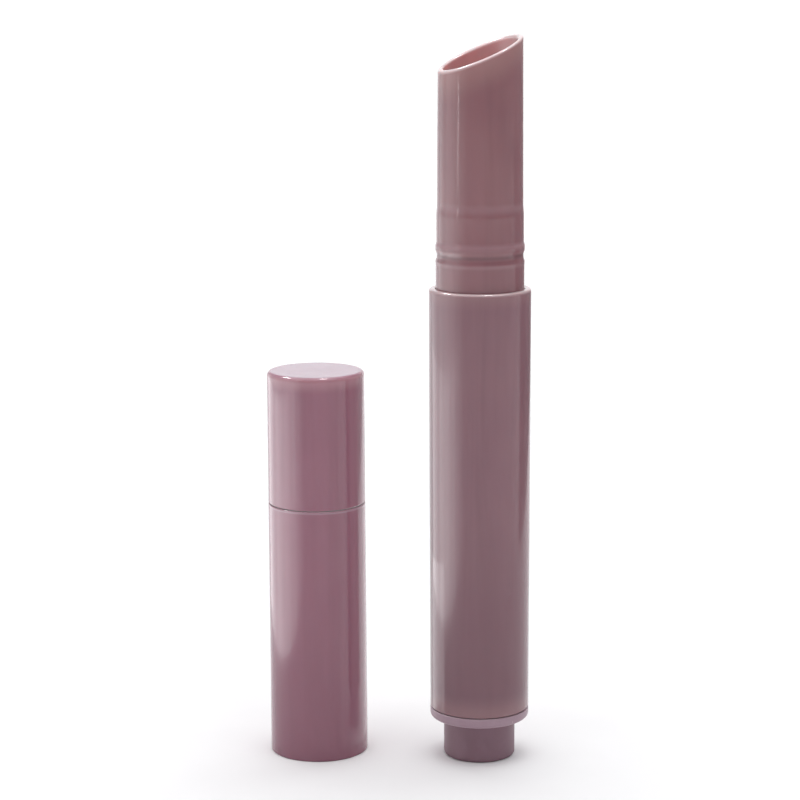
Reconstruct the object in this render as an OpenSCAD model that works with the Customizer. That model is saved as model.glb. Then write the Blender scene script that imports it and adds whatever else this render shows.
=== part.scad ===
// Lip gloss tube: a push-button click pen with a slanted mouth, and its cap standing beside it.
// Origin: centre of the push button's flat foot. +Z runs up the tube's axis, sizes in mm.
// The mouth's high side faces +X and a little +Y, and the cap stands on its open end at -X.

/* [Tube] */
// Outside diameter of the outer sleeve at its collar
sleeve_d = 14.5; // [13:0.1:20]
// Visible length of the outer sleeve, from the end ring to the collar
sleeve_len = 60.9; // [50:0.1:90]
// Loss of radius from the collar down to the end ring
sleeve_draft = 0.15; // [0:0.01:0.25]
// Wall of the outer sleeve at its collar
sleeve_wall = 0.95; // [0.8:0.05:1.4]
// Rounding of the collar's outer edge
collar_round = 0.4; // [0.1:0.05:0.6]

/* [Nozzle] */
// Height of the mouth's centre above the collar
nozzle_rise = 32.75; // [20:0.05:45]
// Wall of the nozzle at its mouth
mouth_wall = 0.8; // [0.5:0.05:1]
// Slope of the mouth
mouth_tilt = 23; // [0:0.5:40]
// Direction of the mouth's high side, turned from +X towards +Y
mouth_turn = 20; // [-180:1:180]
// Height of the snap bead's middle above the collar
bead_z = 5.6; // [4:0.1:8]
// Length of the snap bead
bead_len = 1.4; // [0.8:0.1:2]
// Height that the bead stands above the nozzle's neck
bead_rise = 0.12; // [0.05:0.01:0.2]
// Length of the snap groove under the bead
groove_len = 1.1; // [0.6:0.1:2]
// Depth of the snap groove in the nozzle's foot
groove_depth = 0.07; // [0.03:0.01:0.15]
// Height of the foot of the step above the collar
step_z = 10.2; // [8:0.1:14]
// Length of the step's cone
step_len = 1.7; // [0.5:0.1:3]
// Loss of radius from the foot to the neck above the bead
neck_drop = 0.09; // [0:0.01:0.2]
// Loss of radius over the step
step_drop = 0.1; // [0:0.01:0.3]
// Loss of radius from the step to the mouth
tip_taper = 0.12; // [0:0.01:0.3]

/* [Push button and end ring] */
// Length of button that shows below the end ring
button_show = 5.7; // [4:0.1:9]
// Travel of the button
stroke = 2.2; // [1.2:0.1:3]
// Thickness of the button's floor
button_floor = 1.4; // [0.8:0.1:2]
// Wall of the button
button_wall = 0.9; // [0.7:0.05:1.2]
// Rounding of the button's foot
button_round = 0.5; // [0.1:0.05:0.8]
// Width of the button's retaining flange
flange_w = 0.35; // [0.25:0.01:0.5]
// Thickness of the retaining flange
flange_t = 1.55; // [1:0.05:2.5]
// Height of end ring that shows below the sleeve
ring_show = 1.6; // [1:0.1:3]
// Rounding of the end ring's lower edge
ring_round = 0.6; // [0.2:0.05:0.9]
// Thickness of the lip that holds the button in
lip_t = 2.5; // [2:0.1:4]
// Number of keys that stop the button from turning
key_count = 2; // [2:1:4]
// Width of each key
key_w = 1.5; // [1:0.1:2]
// Height of each key above the flange or the nut
key_h = 0.4; // [0.2:0.05:0.45]

/* [Ratchet] */
// Wall of the mechanism case
case_wall = 0.8; // [0.7:0.05:1]
// Number of ratchet teeth, which is the number of clicks a turn
tooth_count = 12; // [8:2:16]
// Height of the ratchet teeth at their outer edge
tooth_h = 0.9; // [0.5:0.05:1.2]
// Height of the lowest point of a ramp above the foot of its tooth
tooth_land = 0.08; // [0.05:0.01:0.15]
// Step between the roots of the rotor's lower teeth and its wheel
tooth_root = 0.35; // [0.25:0.05:0.5]
// Height of the drive cam's roots above the spring's ledge
cam_reach = 0.5; // [0.3:0.1:2]
// Wall of the drive cam
cam_wall = 1.25; // [1:0.05:2]
// Thickness of the rotor between its two crowns of teeth
rotor_t = 3; // [2:0.1:5]
// Thickness of the fixed crown behind its teeth
crown_t = 1.75; // [1:0.05:3]
// Thickness of the ledge that takes the spring
ledge_t = 1.2; // [0.8:0.1:2]
// Thickness of the spring seat
seat_t = 0.5; // [0.3:0.05:1]
// Thickness of the drag ring's rubber
drag_d = 1.2; // [0.8:0.05:1.6]

/* [Return spring] */
// Length of the spring at rest
spring_len = 9.5; // [8:0.1:14]
// Thickness of the spring's wire
spring_wire = 0.5; // [0.3:0.05:0.6]
// Number of turns, with one closed at each end
spring_turns = 6; // [5:1:8]

/* [Feed screw] */
// Diameter of the screw over its thread
screw_d = 3.8; // [3:0.1:4.6]
// Depth of the thread
thread_depth = 0.5; // [0.3:0.05:0.6]
// Advance of the screw in one turn
lead = 4; // [2:0.5:6]
// Number of threads side by side
starts = 2; // [1:1:3]
// Width of the screw across its two flats
flat_w = 2.7; // [2:0.1:3.2]
// Diameter of the screw's head
head_d = 5.4; // [4.5:0.1:6]
// Thickness of the screw's head
head_t = 1.2; // [0.8:0.1:2]
// Wall of the drive tube
drive_wall = 0.8; // [0.6:0.05:1.2]
// Length of the lead nut
nut_len = 4; // [3:0.5:6]
// Length of screw still held by the drive tube at full travel
key_hold = 3; // [2:0.5:5]
// Length of the drive tube's flat-sided hole beyond what holds the screw
key_spare = 0.5; // [0.2:0.1:2]
// Gap between the drive tube and the lead nut
nut_gap = 0.2; // [0.1:0.05:0.5]
// Gap between the stored screw's foot and the pressed button's floor
foot_gap = 0.5; // [0.3:0.1:2]

/* [Piston] */
// Length of the piston
piston_len = 6.4; // [5:0.1:9]
// Thickness of the piston's upper and lower flange
piston_flange = 1.1; // [0.8:0.1:1.6]
// Rubber behind the seal's lips
seal_wall = 0.8; // [0.5:0.05:1]
// Distance kept between the piston and the mouth at full travel
mouth_margin = 1; // [0.5:0.1:3]

/* [Cap] */
// Distance between the mouth's high side and the liner when the cap is on
cap_tip_gap = 0.29; // [0.1:0.01:2]
// Length of the cap's upper half above the seam
cap_head_len = 19.2; // [10:0.1:30]
// Step in radius from the tube's collar to the cap's open end
cap_inset = 0.2; // [0:0.05:0.4]
// Loss of radius from the open end to the top
cap_draft = 0.1; // [0:0.01:0.2]
// Rounding of the cap's top edge
cap_round = 0.6; // [0.2:0.05:1]
// Thickness of the cap's top
cap_top_t = 1.5; // [1:0.1:3]
// Wall of the upper half of the cap
cap_head_wall = 0.9; // [0.7:0.05:1.2]
// Length of the neck that joins the cap's halves
cap_neck = 6; // [4:0.5:10]
// Wall of the cap's neck
cap_neck_wall = 0.9; // [0.6:0.05:1.2]
// Floor between the cap's halves
cap_floor = 1.3; // [0.8:0.1:2]
// Height of the floor's top above the seam
cap_floor_up = 0.5; // [0:0.1:2]
// Thickness of the sealing liner under the floor
liner_t = 0.5; // [0.3:0.05:1]
// Place of the cap's axis along X
cap_x = -23.4; // [-40:0.1:-16]
// Place of the cap's axis along Y
cap_y = 2.1; // [-10:0.1:10]

/* [Seals] */
// Thickness of the nozzle's sealing ring
ring_seal_d = 0.64; // [0.4:0.02:0.7]
// Depth of the sealing ring's middle below the collar
ring_seal_z = 5; // [3:0.5:8]

/* [Clearances] */
// Radial gap between pieces that are pressed or glued together
fit_gap = 0.03; // [0.02:0.01:0.05]
// Radial gap between pieces that slide or turn on each other
run_gap = 0.07; // [0.04:0.01:0.1]
// Radial gap between the screw's thread and the nut
thread_gap = 0.16; // [0.12:0.01:0.25]
// Gap between faces that meet end to end
end_gap = 0.05; // [0.02:0.01:0.1]
// Width of the visible parting lines
parting = 0.12; // [0.05:0.01:0.2]
// Rounding of the edges along the parting lines
parting_round = 0.12; // [0.05:0.01:0.2]
// Gap between ratchet teeth that face each other
tooth_gap = 0.15; // [0.1:0.01:0.3]
// Turn that keeps the upright faces of meshed teeth apart, in degrees
tooth_side = 0.8; // [0.5:0.1:2]
// Radial gap between the nozzle's bead and the cap's bore
cap_gap = 0.08; // [0.05:0.01:0.15]

/* [Hidden] */
$fn = 96;
big = 60;
cut = 0.5;
thread_steps = 20;

// Radii, from the sleeve inwards
sleeve_r = sleeve_d / 2;
sleeve_foot_r = sleeve_r - sleeve_draft;
sleeve_bore_r = sleeve_r - sleeve_wall;
foot_r = sleeve_bore_r - fit_gap;
neck_r = foot_r - neck_drop;
bead_r = neck_r + bead_rise;
groove_r = foot_r - groove_depth;
step_r = neck_r - step_drop;
tip_r = step_r - tip_taper;
chamber_r = tip_r - mouth_wall;
case_r = sleeve_bore_r - fit_gap;
case_bore_r = case_r - case_wall;
button_r = case_bore_r - flange_w;
cam_r = button_r - button_wall - fit_gap;
screw_r = screw_d / 2;
drive_bore_r = screw_r + thread_gap;
drive_r = drive_bore_r + drive_wall;
cam_bore_r = max(cam_r - cam_wall, drive_bore_r);
rotor_r = case_bore_r - run_gap;
key_r = case_bore_r + key_h - fit_gap;

// Heights, from the foot upwards
ring_z = button_show;
sleeve_z = ring_z + ring_show;
collar_z = sleeve_z + sleeve_len;
flange_z = ring_z + lip_t + end_gap;
flange_top_z = flange_z + flange_t;
case_z = flange_top_z + stroke + end_gap;
seat_z = flange_top_z + spring_len;
ledge_z = seat_z + seat_t;
cam_top_z = ledge_z + ledge_t + cam_reach;
rotor_teeth_z = cam_top_z + stroke + tooth_gap;
rotor_z = rotor_teeth_z + tooth_h + tooth_root;
rotor_top_z = rotor_z + rotor_t;
crown_teeth_z = rotor_top_z + tooth_h + tooth_gap;
crown_z = crown_teeth_z + tooth_h;
crown_top_z = crown_z + crown_t;
mouth_z = collar_z + nozzle_rise;
mouth_low_z = mouth_z - tip_r * tan(mouth_tilt);
mouth_high_z = mouth_z + tip_r * tan(mouth_tilt);

// The nut stands where the screw's store below it and the piston's travel above it are equal
store_z = button_floor + stroke + foot_gap;
piston_limit_z = mouth_low_z - mouth_margin - piston_len - end_gap;
nut_top_z = (piston_limit_z + nut_len + key_hold + store_z) / 2;
nut_z = nut_top_z - nut_len;
half_turns = floor(2 * (piston_limit_z - nut_top_z) / lead);
travel = half_turns * lead / 2;
piston_z = nut_top_z + end_gap;
screw_foot_z = nut_z - key_hold - travel;
head_z = piston_z + piston_flange;
drive_top_z = nut_z - nut_gap;
drive_key_z = drive_top_z - key_hold - key_spare;

// Cap, measured up from its open end
cap_r = sleeve_r - cap_inset;
cap_top_r = cap_r - cap_draft;
cap_bore_r = bead_r + cap_gap;
cap_snap_r = groove_r + fit_gap;
cap_snap_z = bead_z - bead_len / 2 - groove_len / 2;
cap_head_bore_r = cap_top_r - cap_head_wall;
cap_neck_r = cap_head_bore_r - fit_gap;
cap_floor_z = mouth_high_z - collar_z + cap_tip_gap + liner_t + fit_gap;
cap_seam = cap_floor_z + cap_floor - cap_floor_up;
cap_len = cap_seam + cap_head_len;
cap_seam_r = cap_r - cap_draft * cap_seam / cap_len;

// Turns a profile of [radius, height] points into a solid of revolution
module turned(points) {
    rotate_extrude() polygon(points);
}

// Ring between two radii and two heights
module ring(outer, inner, low, high) {
    translate([0, 0, low]) difference() {
        cylinder(r = outer, h = high - low);
        translate([0, 0, -cut]) cylinder(r = inner, h = high - low + 2 * cut);
    }
}

// Quarter-round points about a centre, from one angle to another
function arc(r, z, radius, from, to, steps = 6) =
    [for (i = [0:steps]) [r + radius * cos(from + (to - from) * i / steps),
                          z + radius * sin(from + (to - from) * i / steps)]];

// Rubber ring of round section
module o_ring(middle_r, wire_r, z) {
    translate([0, 0, z]) rotate_extrude() translate([middle_r, 0]) circle(r = wire_r, $fn = 32);
}

// Keys or key slots spread round the axis
module keys(inner, outer, width, low, high) {
    for (i = [0:key_count - 1])
        rotate([0, 0, i * 360 / key_count])
            translate([inner, -width / 2, low])
                cube([outer - inner, width, high - low]);
}

// Wedge under the ramp of one tooth, from the +X radial line round by one tooth pitch.
// The ramp rises away from that line, with lean 1 towards +Y and with lean -1 towards -Y.
// It starts at tooth_land and gains tooth_h at ramp_r, and laps a little into the wedge before it.
module ramp_wedge(outer, inner, lean, ramp_r) {
    pitch = 360 / tooth_count;
    lap = 2;
    slope = atan(tooth_h / (ramp_r * sin(pitch)));
    intersection() {
        rotate([0, 0, lean > 0 ? -lap : -pitch])
            rotate_extrude(angle = pitch + lap)
                translate([inner, -cut]) square([outer - inner, cut + 3 * tooth_h]);
        translate([0, 0, tooth_land]) rotate([lean * slope, 0, 0]) translate([0, -big / 2, -big]) cube(big);
    }
}

// Space under a whole crown of ramps, which cuts the teeth of a crown that points down
module crown_space(outer, inner, lean) {
    for (i = [0:tooth_count - 1])
        rotate([0, 0, i * 360 / tooth_count]) ramp_wedge(outer + cut, inner - cut, lean, outer);
}

// Space over the same ramps, which cuts the teeth of a crown that points up
module crown_air(outer, inner, lean) {
    translate([0, 0, tooth_h + 2 * tooth_land]) rotate([180, 0, 0]) crown_space(outer, inner, lean);
}

// Section of the screw: round lobes, one for each thread
function thread_outline(gap) =
    [for (i = [0:thread_steps - 1]) let (a = 360 * i / thread_steps,
                                  r = screw_r - thread_depth / 2 + gap + thread_depth / 2 * cos(starts * a))
        [r * cos(a), r * sin(a)]];

// Threaded rod between two heights, in phase with every other length of the same thread
module thread(gap, low, high) {
    slices_per_turn = 16;
    turns = (high - low) / lead;
    translate([0, 0, low]) rotate([0, 0, 360 * low / lead])
        linear_extrude(height = high - low, twist = -360 * turns, slices = ceil(slices_per_turn * turns),
                       $fn = thread_steps)
            polygon(thread_outline(gap));
}

// Height along the spring after t turns: closed end turns, open ones between them
function spring_rise(t) =
    let (closed = spring_wire * 1.06,
         open = (spring_len - spring_wire - 2 * closed) / (spring_turns - 2))
    t < 1 ? t * closed
    : t > spring_turns - 1 ? spring_len - spring_wire - (spring_turns - t) * closed
    : closed + (t - 1) * open;

module outer_sleeve() {
    color([0.66, 0.53, 0.57]) turned(concat(
        [[sleeve_bore_r, sleeve_z], [sleeve_foot_r - parting_round, sleeve_z],
         [sleeve_foot_r, sleeve_z + parting_round]],
        arc(sleeve_r - collar_round, collar_z - collar_round, collar_round, 0, 90),
        [[sleeve_bore_r, collar_z]]));
}

// Product tube with a snap bead, a step and a slanted mouth
module nozzle() {
    tail_z = nut_top_z + end_gap;
    bead_low = collar_z + bead_z - bead_len / 2;
    bead_high = bead_low + bead_len;
    groove_low = bead_low - groove_len;
    step_low = collar_z + step_z;
    seal_z = collar_z - ring_seal_z;
    seal_half = ring_seal_d / 2 + end_gap;
    seal_floor_r = sleeve_bore_r - ring_seal_d - fit_gap;
    bead_radius = (pow(bead_len / 2, 2) + pow(bead_rise, 2)) / (2 * bead_rise);
    bead_angle = asin(bead_len / 2 / bead_radius);
    top_z = mouth_high_z + 1;
    color([0.68, 0.54, 0.58]) difference() {
        turned(concat(
            [[chamber_r, tail_z], [foot_r, tail_z],
             [foot_r, seal_z - seal_half], [seal_floor_r, seal_z - seal_half],
             [seal_floor_r, seal_z + seal_half], [foot_r, seal_z + seal_half],
             [foot_r, groove_low], [groove_r, groove_low + groove_depth], [groove_r, bead_low - groove_depth],
             [neck_r, bead_low]],
            arc(bead_r - bead_radius, collar_z + bead_z, bead_radius, 1 - bead_angle, bead_angle),
            [[neck_r, step_low], [step_r, step_low + step_len], [tip_r, mouth_z], [tip_r, top_z],
             [chamber_r, top_z]]));
        translate([0, 0, mouth_z]) rotate([0, 0, mouth_turn]) rotate([0, -mouth_tilt, 0])
            translate([-big / 2, -big / 2, 0]) cube(big);
    }
}

module nozzle_o_ring() {
    wire_r = ring_seal_d / 2;
    color([0.2, 0.2, 0.21]) o_ring(sleeve_bore_r - fit_gap / 2 - wire_r, wire_r, collar_z - ring_seal_z);
}

// Ring that closes the sleeve, guides the button and keeps it in
module end_ring() {
    hole_r = button_r + run_gap;
    top_z = case_z - end_gap;
    outer_r = sleeve_foot_r;
    shoulder_z = sleeve_z - parting;
    color([0.7, 0.61, 0.68]) difference() {
        turned(concat(
            [[hole_r, ring_z]],
            arc(outer_r - ring_round, ring_z + ring_round, ring_round, -90, 0),
            [[outer_r, shoulder_z - parting_round], [outer_r - parting_round, shoulder_z],
             [case_r, shoulder_z], [case_r, top_z], [case_bore_r, top_z],
             [case_bore_r, ring_z + lip_t], [hole_r, ring_z + lip_t]]));
        keys(button_r, key_r + run_gap, key_w + 2 * run_gap, ring_z + lip_t, top_z + cut);
    }
}

// Housing of the ratchet, with the spring's ledge and the nut's key slots
module mechanism_case() {
    color([0.88, 0.88, 0.86]) difference() {
        union() {
            ring(case_r, case_bore_r, case_z, nut_top_z);
            ring(case_r - fit_gap, cam_r + run_gap, ledge_z, ledge_z + ledge_t);
        }
        keys(cam_r, key_r + fit_gap, key_w + 2 * fit_gap, nut_z, nut_top_z + cut);
    }
}

// Fixed nut that makes the turning screw climb
module lead_nut() {
    color([0.92, 0.9, 0.84]) difference() {
        union() {
            translate([0, 0, nut_z]) cylinder(r = case_bore_r - fit_gap, h = nut_len);
            keys(cam_r, key_r, key_w, nut_z + end_gap, nut_top_z);
        }
        thread(thread_gap, nut_z - lead / 8, nut_top_z + lead / 8);
    }
}

// Fixed crown that keeps the rotor from turning back, with a cup for the drag ring
module fixed_crown() {
    outer = case_bore_r - fit_gap;
    inner = drive_r + run_gap;
    cup_r = inner + drag_d + fit_gap;
    color([0.85, 0.82, 0.74]) difference() {
        ring(outer, inner, crown_teeth_z, crown_top_z + drag_d);
        translate([0, 0, crown_top_z]) cylinder(r = cup_r, h = drag_d + cut);
        translate([0, 0, crown_teeth_z]) crown_space(outer, inner, 1);
    }
}

// Rubber ring that drags on the drive tube, so that the screw stays where it was put
module drag_ring() {
    wire_r = drag_d / 2;
    color([0.25, 0.25, 0.26]) o_ring(drive_r + run_gap + wire_r, wire_r, crown_top_z + wire_r + fit_gap);
}

module spring_seat() {
    color([0.75, 0.76, 0.78])
        ring(case_bore_r - run_gap, cam_r + 2 * run_gap, seat_z, ledge_z - fit_gap / 2);
}

// Compression spring swept along a helix
module return_spring() {
    section = 10;
    per_turn = 24;
    steps = spring_turns * per_turn;
    middle_r = (cam_r + case_bore_r) / 2;
    wire_r = spring_wire / 2 - fit_gap / 2;
    points = [for (i = [0:steps]) let (a = 360 * i / per_turn,
                                       z = flange_top_z + spring_wire / 2 + spring_rise(i / per_turn))
        for (j = [0:section - 1]) let (b = 360 * j / section, r = middle_r + wire_r * cos(b))
            [r * cos(a), r * sin(a), z + wire_r * sin(b)]];
    sides = [for (i = [0:steps - 1]) for (j = [0:section - 1])
        let (a = i * section + j, b = i * section + (j + 1) % section)
            each [[a, b, a + section], [b, b + section, a + section]]];
    first = [for (j = [section - 1:-1:0]) j];
    last = [for (j = [0:section - 1]) steps * section + j];
    color([0.78, 0.79, 0.8]) polyhedron(points, concat(sides, [first, last]));
}

// Button that the tube stands on, with its retaining flange and keys
module push_button() {
    bore_r = button_r - button_wall;
    flange_r = case_bore_r - run_gap;
    color([0.67, 0.57, 0.64]) union() {
        turned(concat(
            [[0, 0]],
            arc(button_r - button_round, button_round, button_round, -90, 0),
            [[button_r, flange_z], [flange_r, flange_z], [flange_r, flange_top_z],
             [bore_r, flange_top_z], [bore_r, button_floor], [0, button_floor]]));
        keys(button_r - button_wall / 2, key_r, key_w, flange_z, flange_top_z);
    }
}

// Plunger in the button whose ramp teeth turn the rotor. They have the shape of the space
// between the rotor's lower teeth, turned a little so that the upright faces stay apart.
module drive_cam() {
    foot_z = button_floor + end_gap;
    color([0.9, 0.9, 0.88]) intersection() {
        ring(cam_r, cam_bore_r, foot_z, cam_top_z + 2 * tooth_h);
        union() {
            translate([0, 0, -cut]) cylinder(r = cam_r + cut, h = cam_top_z + cut);
            translate([0, 0, cam_top_z]) rotate([0, 0, tooth_side]) crown_space(cam_r, cam_bore_r, -1);
        }
    }
}

// Toothed wheel driven from below and held from above
module ratchet_rotor() {
    bore_r = drive_r + fit_gap;
    color([0.86, 0.8, 0.62]) difference() {
        ring(rotor_r, bore_r, rotor_teeth_z, rotor_top_z + tooth_land + tooth_h);
        ring(rotor_r + cut, cam_r, rotor_teeth_z - cut, rotor_z);
        translate([0, 0, rotor_teeth_z]) crown_space(cam_r, bore_r, -1);
        translate([0, 0, rotor_top_z]) crown_air(rotor_r, bore_r, 1);
    }
}

// Tube fixed in the rotor: its flat-sided hole at the top turns the screw
module drive_tube() {
    flat_half = flat_w / 2 + run_gap;
    color([0.93, 0.93, 0.9]) difference() {
        translate([0, 0, rotor_z]) cylinder(r = drive_r, h = drive_top_z - rotor_z);
        translate([0, 0, rotor_z - cut]) cylinder(r = drive_bore_r, h = drive_key_z - rotor_z + cut);
        intersection() {
            translate([0, 0, drive_key_z - cut]) cylinder(r = drive_bore_r, h = drive_top_z - drive_key_z + 2 * cut);
            translate([-big / 2, -flat_half, 0]) cube([big, 2 * flat_half, 3 * big]);
        }
    }
}

// Flat-sided screw with a round head that turns in the piston
module lead_screw() {
    color([0.95, 0.94, 0.9]) union() {
        intersection() {
            thread(0, screw_foot_z, head_z + head_t / 2);
            translate([-big / 2, -flat_w / 2, 0]) cube([big, flat_w, 3 * big]);
        }
        translate([0, 0, head_z + end_gap]) cylinder(r = head_d / 2, h = head_t);
    }
}

// Piston body: a spool that carries the seal and holds the screw's head
module piston_core() {
    outer_r = chamber_r - 2 * run_gap;
    spool_r = chamber_r - seal_wall - run_gap;
    top_z = piston_z + piston_len;
    color([0.9, 0.88, 0.84]) difference() {
        turned([[0, piston_z], [outer_r, piston_z], [outer_r, piston_z + piston_flange],
                [spool_r, piston_z + piston_flange], [spool_r, top_z - piston_flange],
                [outer_r, top_z - piston_flange], [outer_r, top_z], [0, top_z]]);
        translate([0, 0, piston_z - cut]) cylinder(r = drive_bore_r, h = piston_len / 2);
        translate([0, 0, head_z]) cylinder(r = head_d / 2 + run_gap, h = head_t + 2 * end_gap);
    }
}

// Rubber sleeve on the piston with two lips that wipe the chamber
module piston_seal() {
    low = piston_z + piston_flange + end_gap;
    high = piston_z + piston_len - piston_flange - end_gap;
    inner = chamber_r - seal_wall - run_gap + fit_gap;
    lip_r = chamber_r - run_gap / 2;
    waist_r = chamber_r - seal_wall / 2;
    lip = (high - low) / 5;
    color([0.82, 0.8, 0.78]) turned([[inner, low], [waist_r, low], [lip_r, low + lip / 2], [lip_r, low + lip],
        [waist_r, low + 2 * lip], [waist_r, high - 2 * lip], [lip_r, high - lip], [lip_r, high - lip / 2],
        [waist_r, high], [inner, high]]);
}

// Lower half of the cap: open below, with a snap ring inside and a neck on its floor
module cap_sleeve() {
    snap_half = groove_len / 2;
    color([0.65, 0.51, 0.57]) translate([cap_x, cap_y, 0]) turned([
        [cap_bore_r + parting_round, 0], [cap_r - parting_round, 0], [cap_r, parting_round],
        [cap_seam_r, cap_seam - parting_round], [cap_seam_r - parting_round, cap_seam],
        [cap_neck_r, cap_seam], [cap_neck_r, cap_seam + cap_neck], [cap_neck_r - cap_neck_wall, cap_seam + cap_neck],
        [cap_neck_r - cap_neck_wall, cap_floor_z + cap_floor], [0, cap_floor_z + cap_floor], [0, cap_floor_z],
        [cap_bore_r, cap_floor_z], [cap_bore_r, cap_snap_z + snap_half],
        [cap_snap_r, cap_snap_z + snap_half / 4], [cap_snap_r, cap_snap_z - snap_half / 4],
        [cap_bore_r, cap_snap_z - snap_half], [cap_bore_r, parting_round]]);
}

// Upper half of the cap, pressed over the neck
module cap_head() {
    low = cap_seam + parting;
    inner_top_z = cap_len - cap_top_t;
    color([0.66, 0.52, 0.58]) translate([cap_x, cap_y, 0]) turned(concat(
        [[cap_head_bore_r, low], [cap_seam_r - parting_round, low], [cap_seam_r, low + parting_round]],
        arc(cap_top_r - cap_round, cap_len - cap_round, cap_round, 0, 90),
        [[0, cap_len], [0, inner_top_z], [cap_head_bore_r, inner_top_z]]));
}

// Soft disc under the cap's floor that closes the mouth
module cap_liner() {
    color([0.93, 0.92, 0.9]) translate([cap_x, cap_y, cap_floor_z - liner_t - fit_gap])
        cylinder(r = cap_bore_r - fit_gap, h = liner_t);
}

outer_sleeve();
nozzle();
nozzle_o_ring();
end_ring();
mechanism_case();
lead_nut();
fixed_crown();
drag_ring();
spring_seat();
return_spring();
push_button();
drive_cam();
ratchet_rotor();
drive_tube();
lead_screw();
piston_core();
piston_seal();
cap_sleeve();
cap_head();
cap_liner();
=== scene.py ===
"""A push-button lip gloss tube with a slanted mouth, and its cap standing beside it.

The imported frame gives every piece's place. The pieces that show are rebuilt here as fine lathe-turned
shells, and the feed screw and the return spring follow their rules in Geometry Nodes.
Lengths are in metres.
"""
import logging
import math
from dataclasses import dataclass, field
from enum import Enum
from functools import lru_cache
from typing import Callable, Sequence

import bmesh
import bpy
from mathutils import Matrix, Vector


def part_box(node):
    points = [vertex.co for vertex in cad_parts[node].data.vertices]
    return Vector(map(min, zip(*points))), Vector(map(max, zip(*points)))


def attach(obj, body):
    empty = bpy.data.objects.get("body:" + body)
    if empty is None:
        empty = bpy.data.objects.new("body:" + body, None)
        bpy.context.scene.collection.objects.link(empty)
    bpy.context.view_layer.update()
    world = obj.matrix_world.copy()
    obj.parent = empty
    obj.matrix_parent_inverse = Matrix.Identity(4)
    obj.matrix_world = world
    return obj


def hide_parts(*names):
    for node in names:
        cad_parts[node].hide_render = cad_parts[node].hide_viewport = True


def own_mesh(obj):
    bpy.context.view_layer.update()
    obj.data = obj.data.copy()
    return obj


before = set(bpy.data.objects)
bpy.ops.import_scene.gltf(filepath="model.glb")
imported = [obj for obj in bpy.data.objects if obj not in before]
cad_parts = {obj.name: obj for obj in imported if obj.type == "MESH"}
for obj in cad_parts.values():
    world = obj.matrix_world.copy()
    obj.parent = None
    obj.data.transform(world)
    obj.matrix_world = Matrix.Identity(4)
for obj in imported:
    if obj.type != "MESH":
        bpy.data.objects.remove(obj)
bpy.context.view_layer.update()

LOG = logging.getLogger("lip_gloss_tube")
MM = 0.001
Colour = tuple[float, float, float]
Point = tuple[float, float]
Cells = tuple[float, float, float]


class Body(Enum):
    """The frame's rigid bodies that new pieces ride on."""

    TUBE = "tube"
    BUTTON = "button"
    SCREW = "screw"
    CAP = "cap"


class Slot(Enum):
    """The record's material slots of the new pieces."""

    SLEEVE = "sleeve_plastic"
    NOZZLE = "nozzle_plastic"
    CAP = "cap_plastic"
    BUTTON = "button_plastic"
    MECHANISM = "mechanism_plastic"
    STEEL = "spring_steel"


# ---------------------------------------------------------------- shader building


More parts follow.
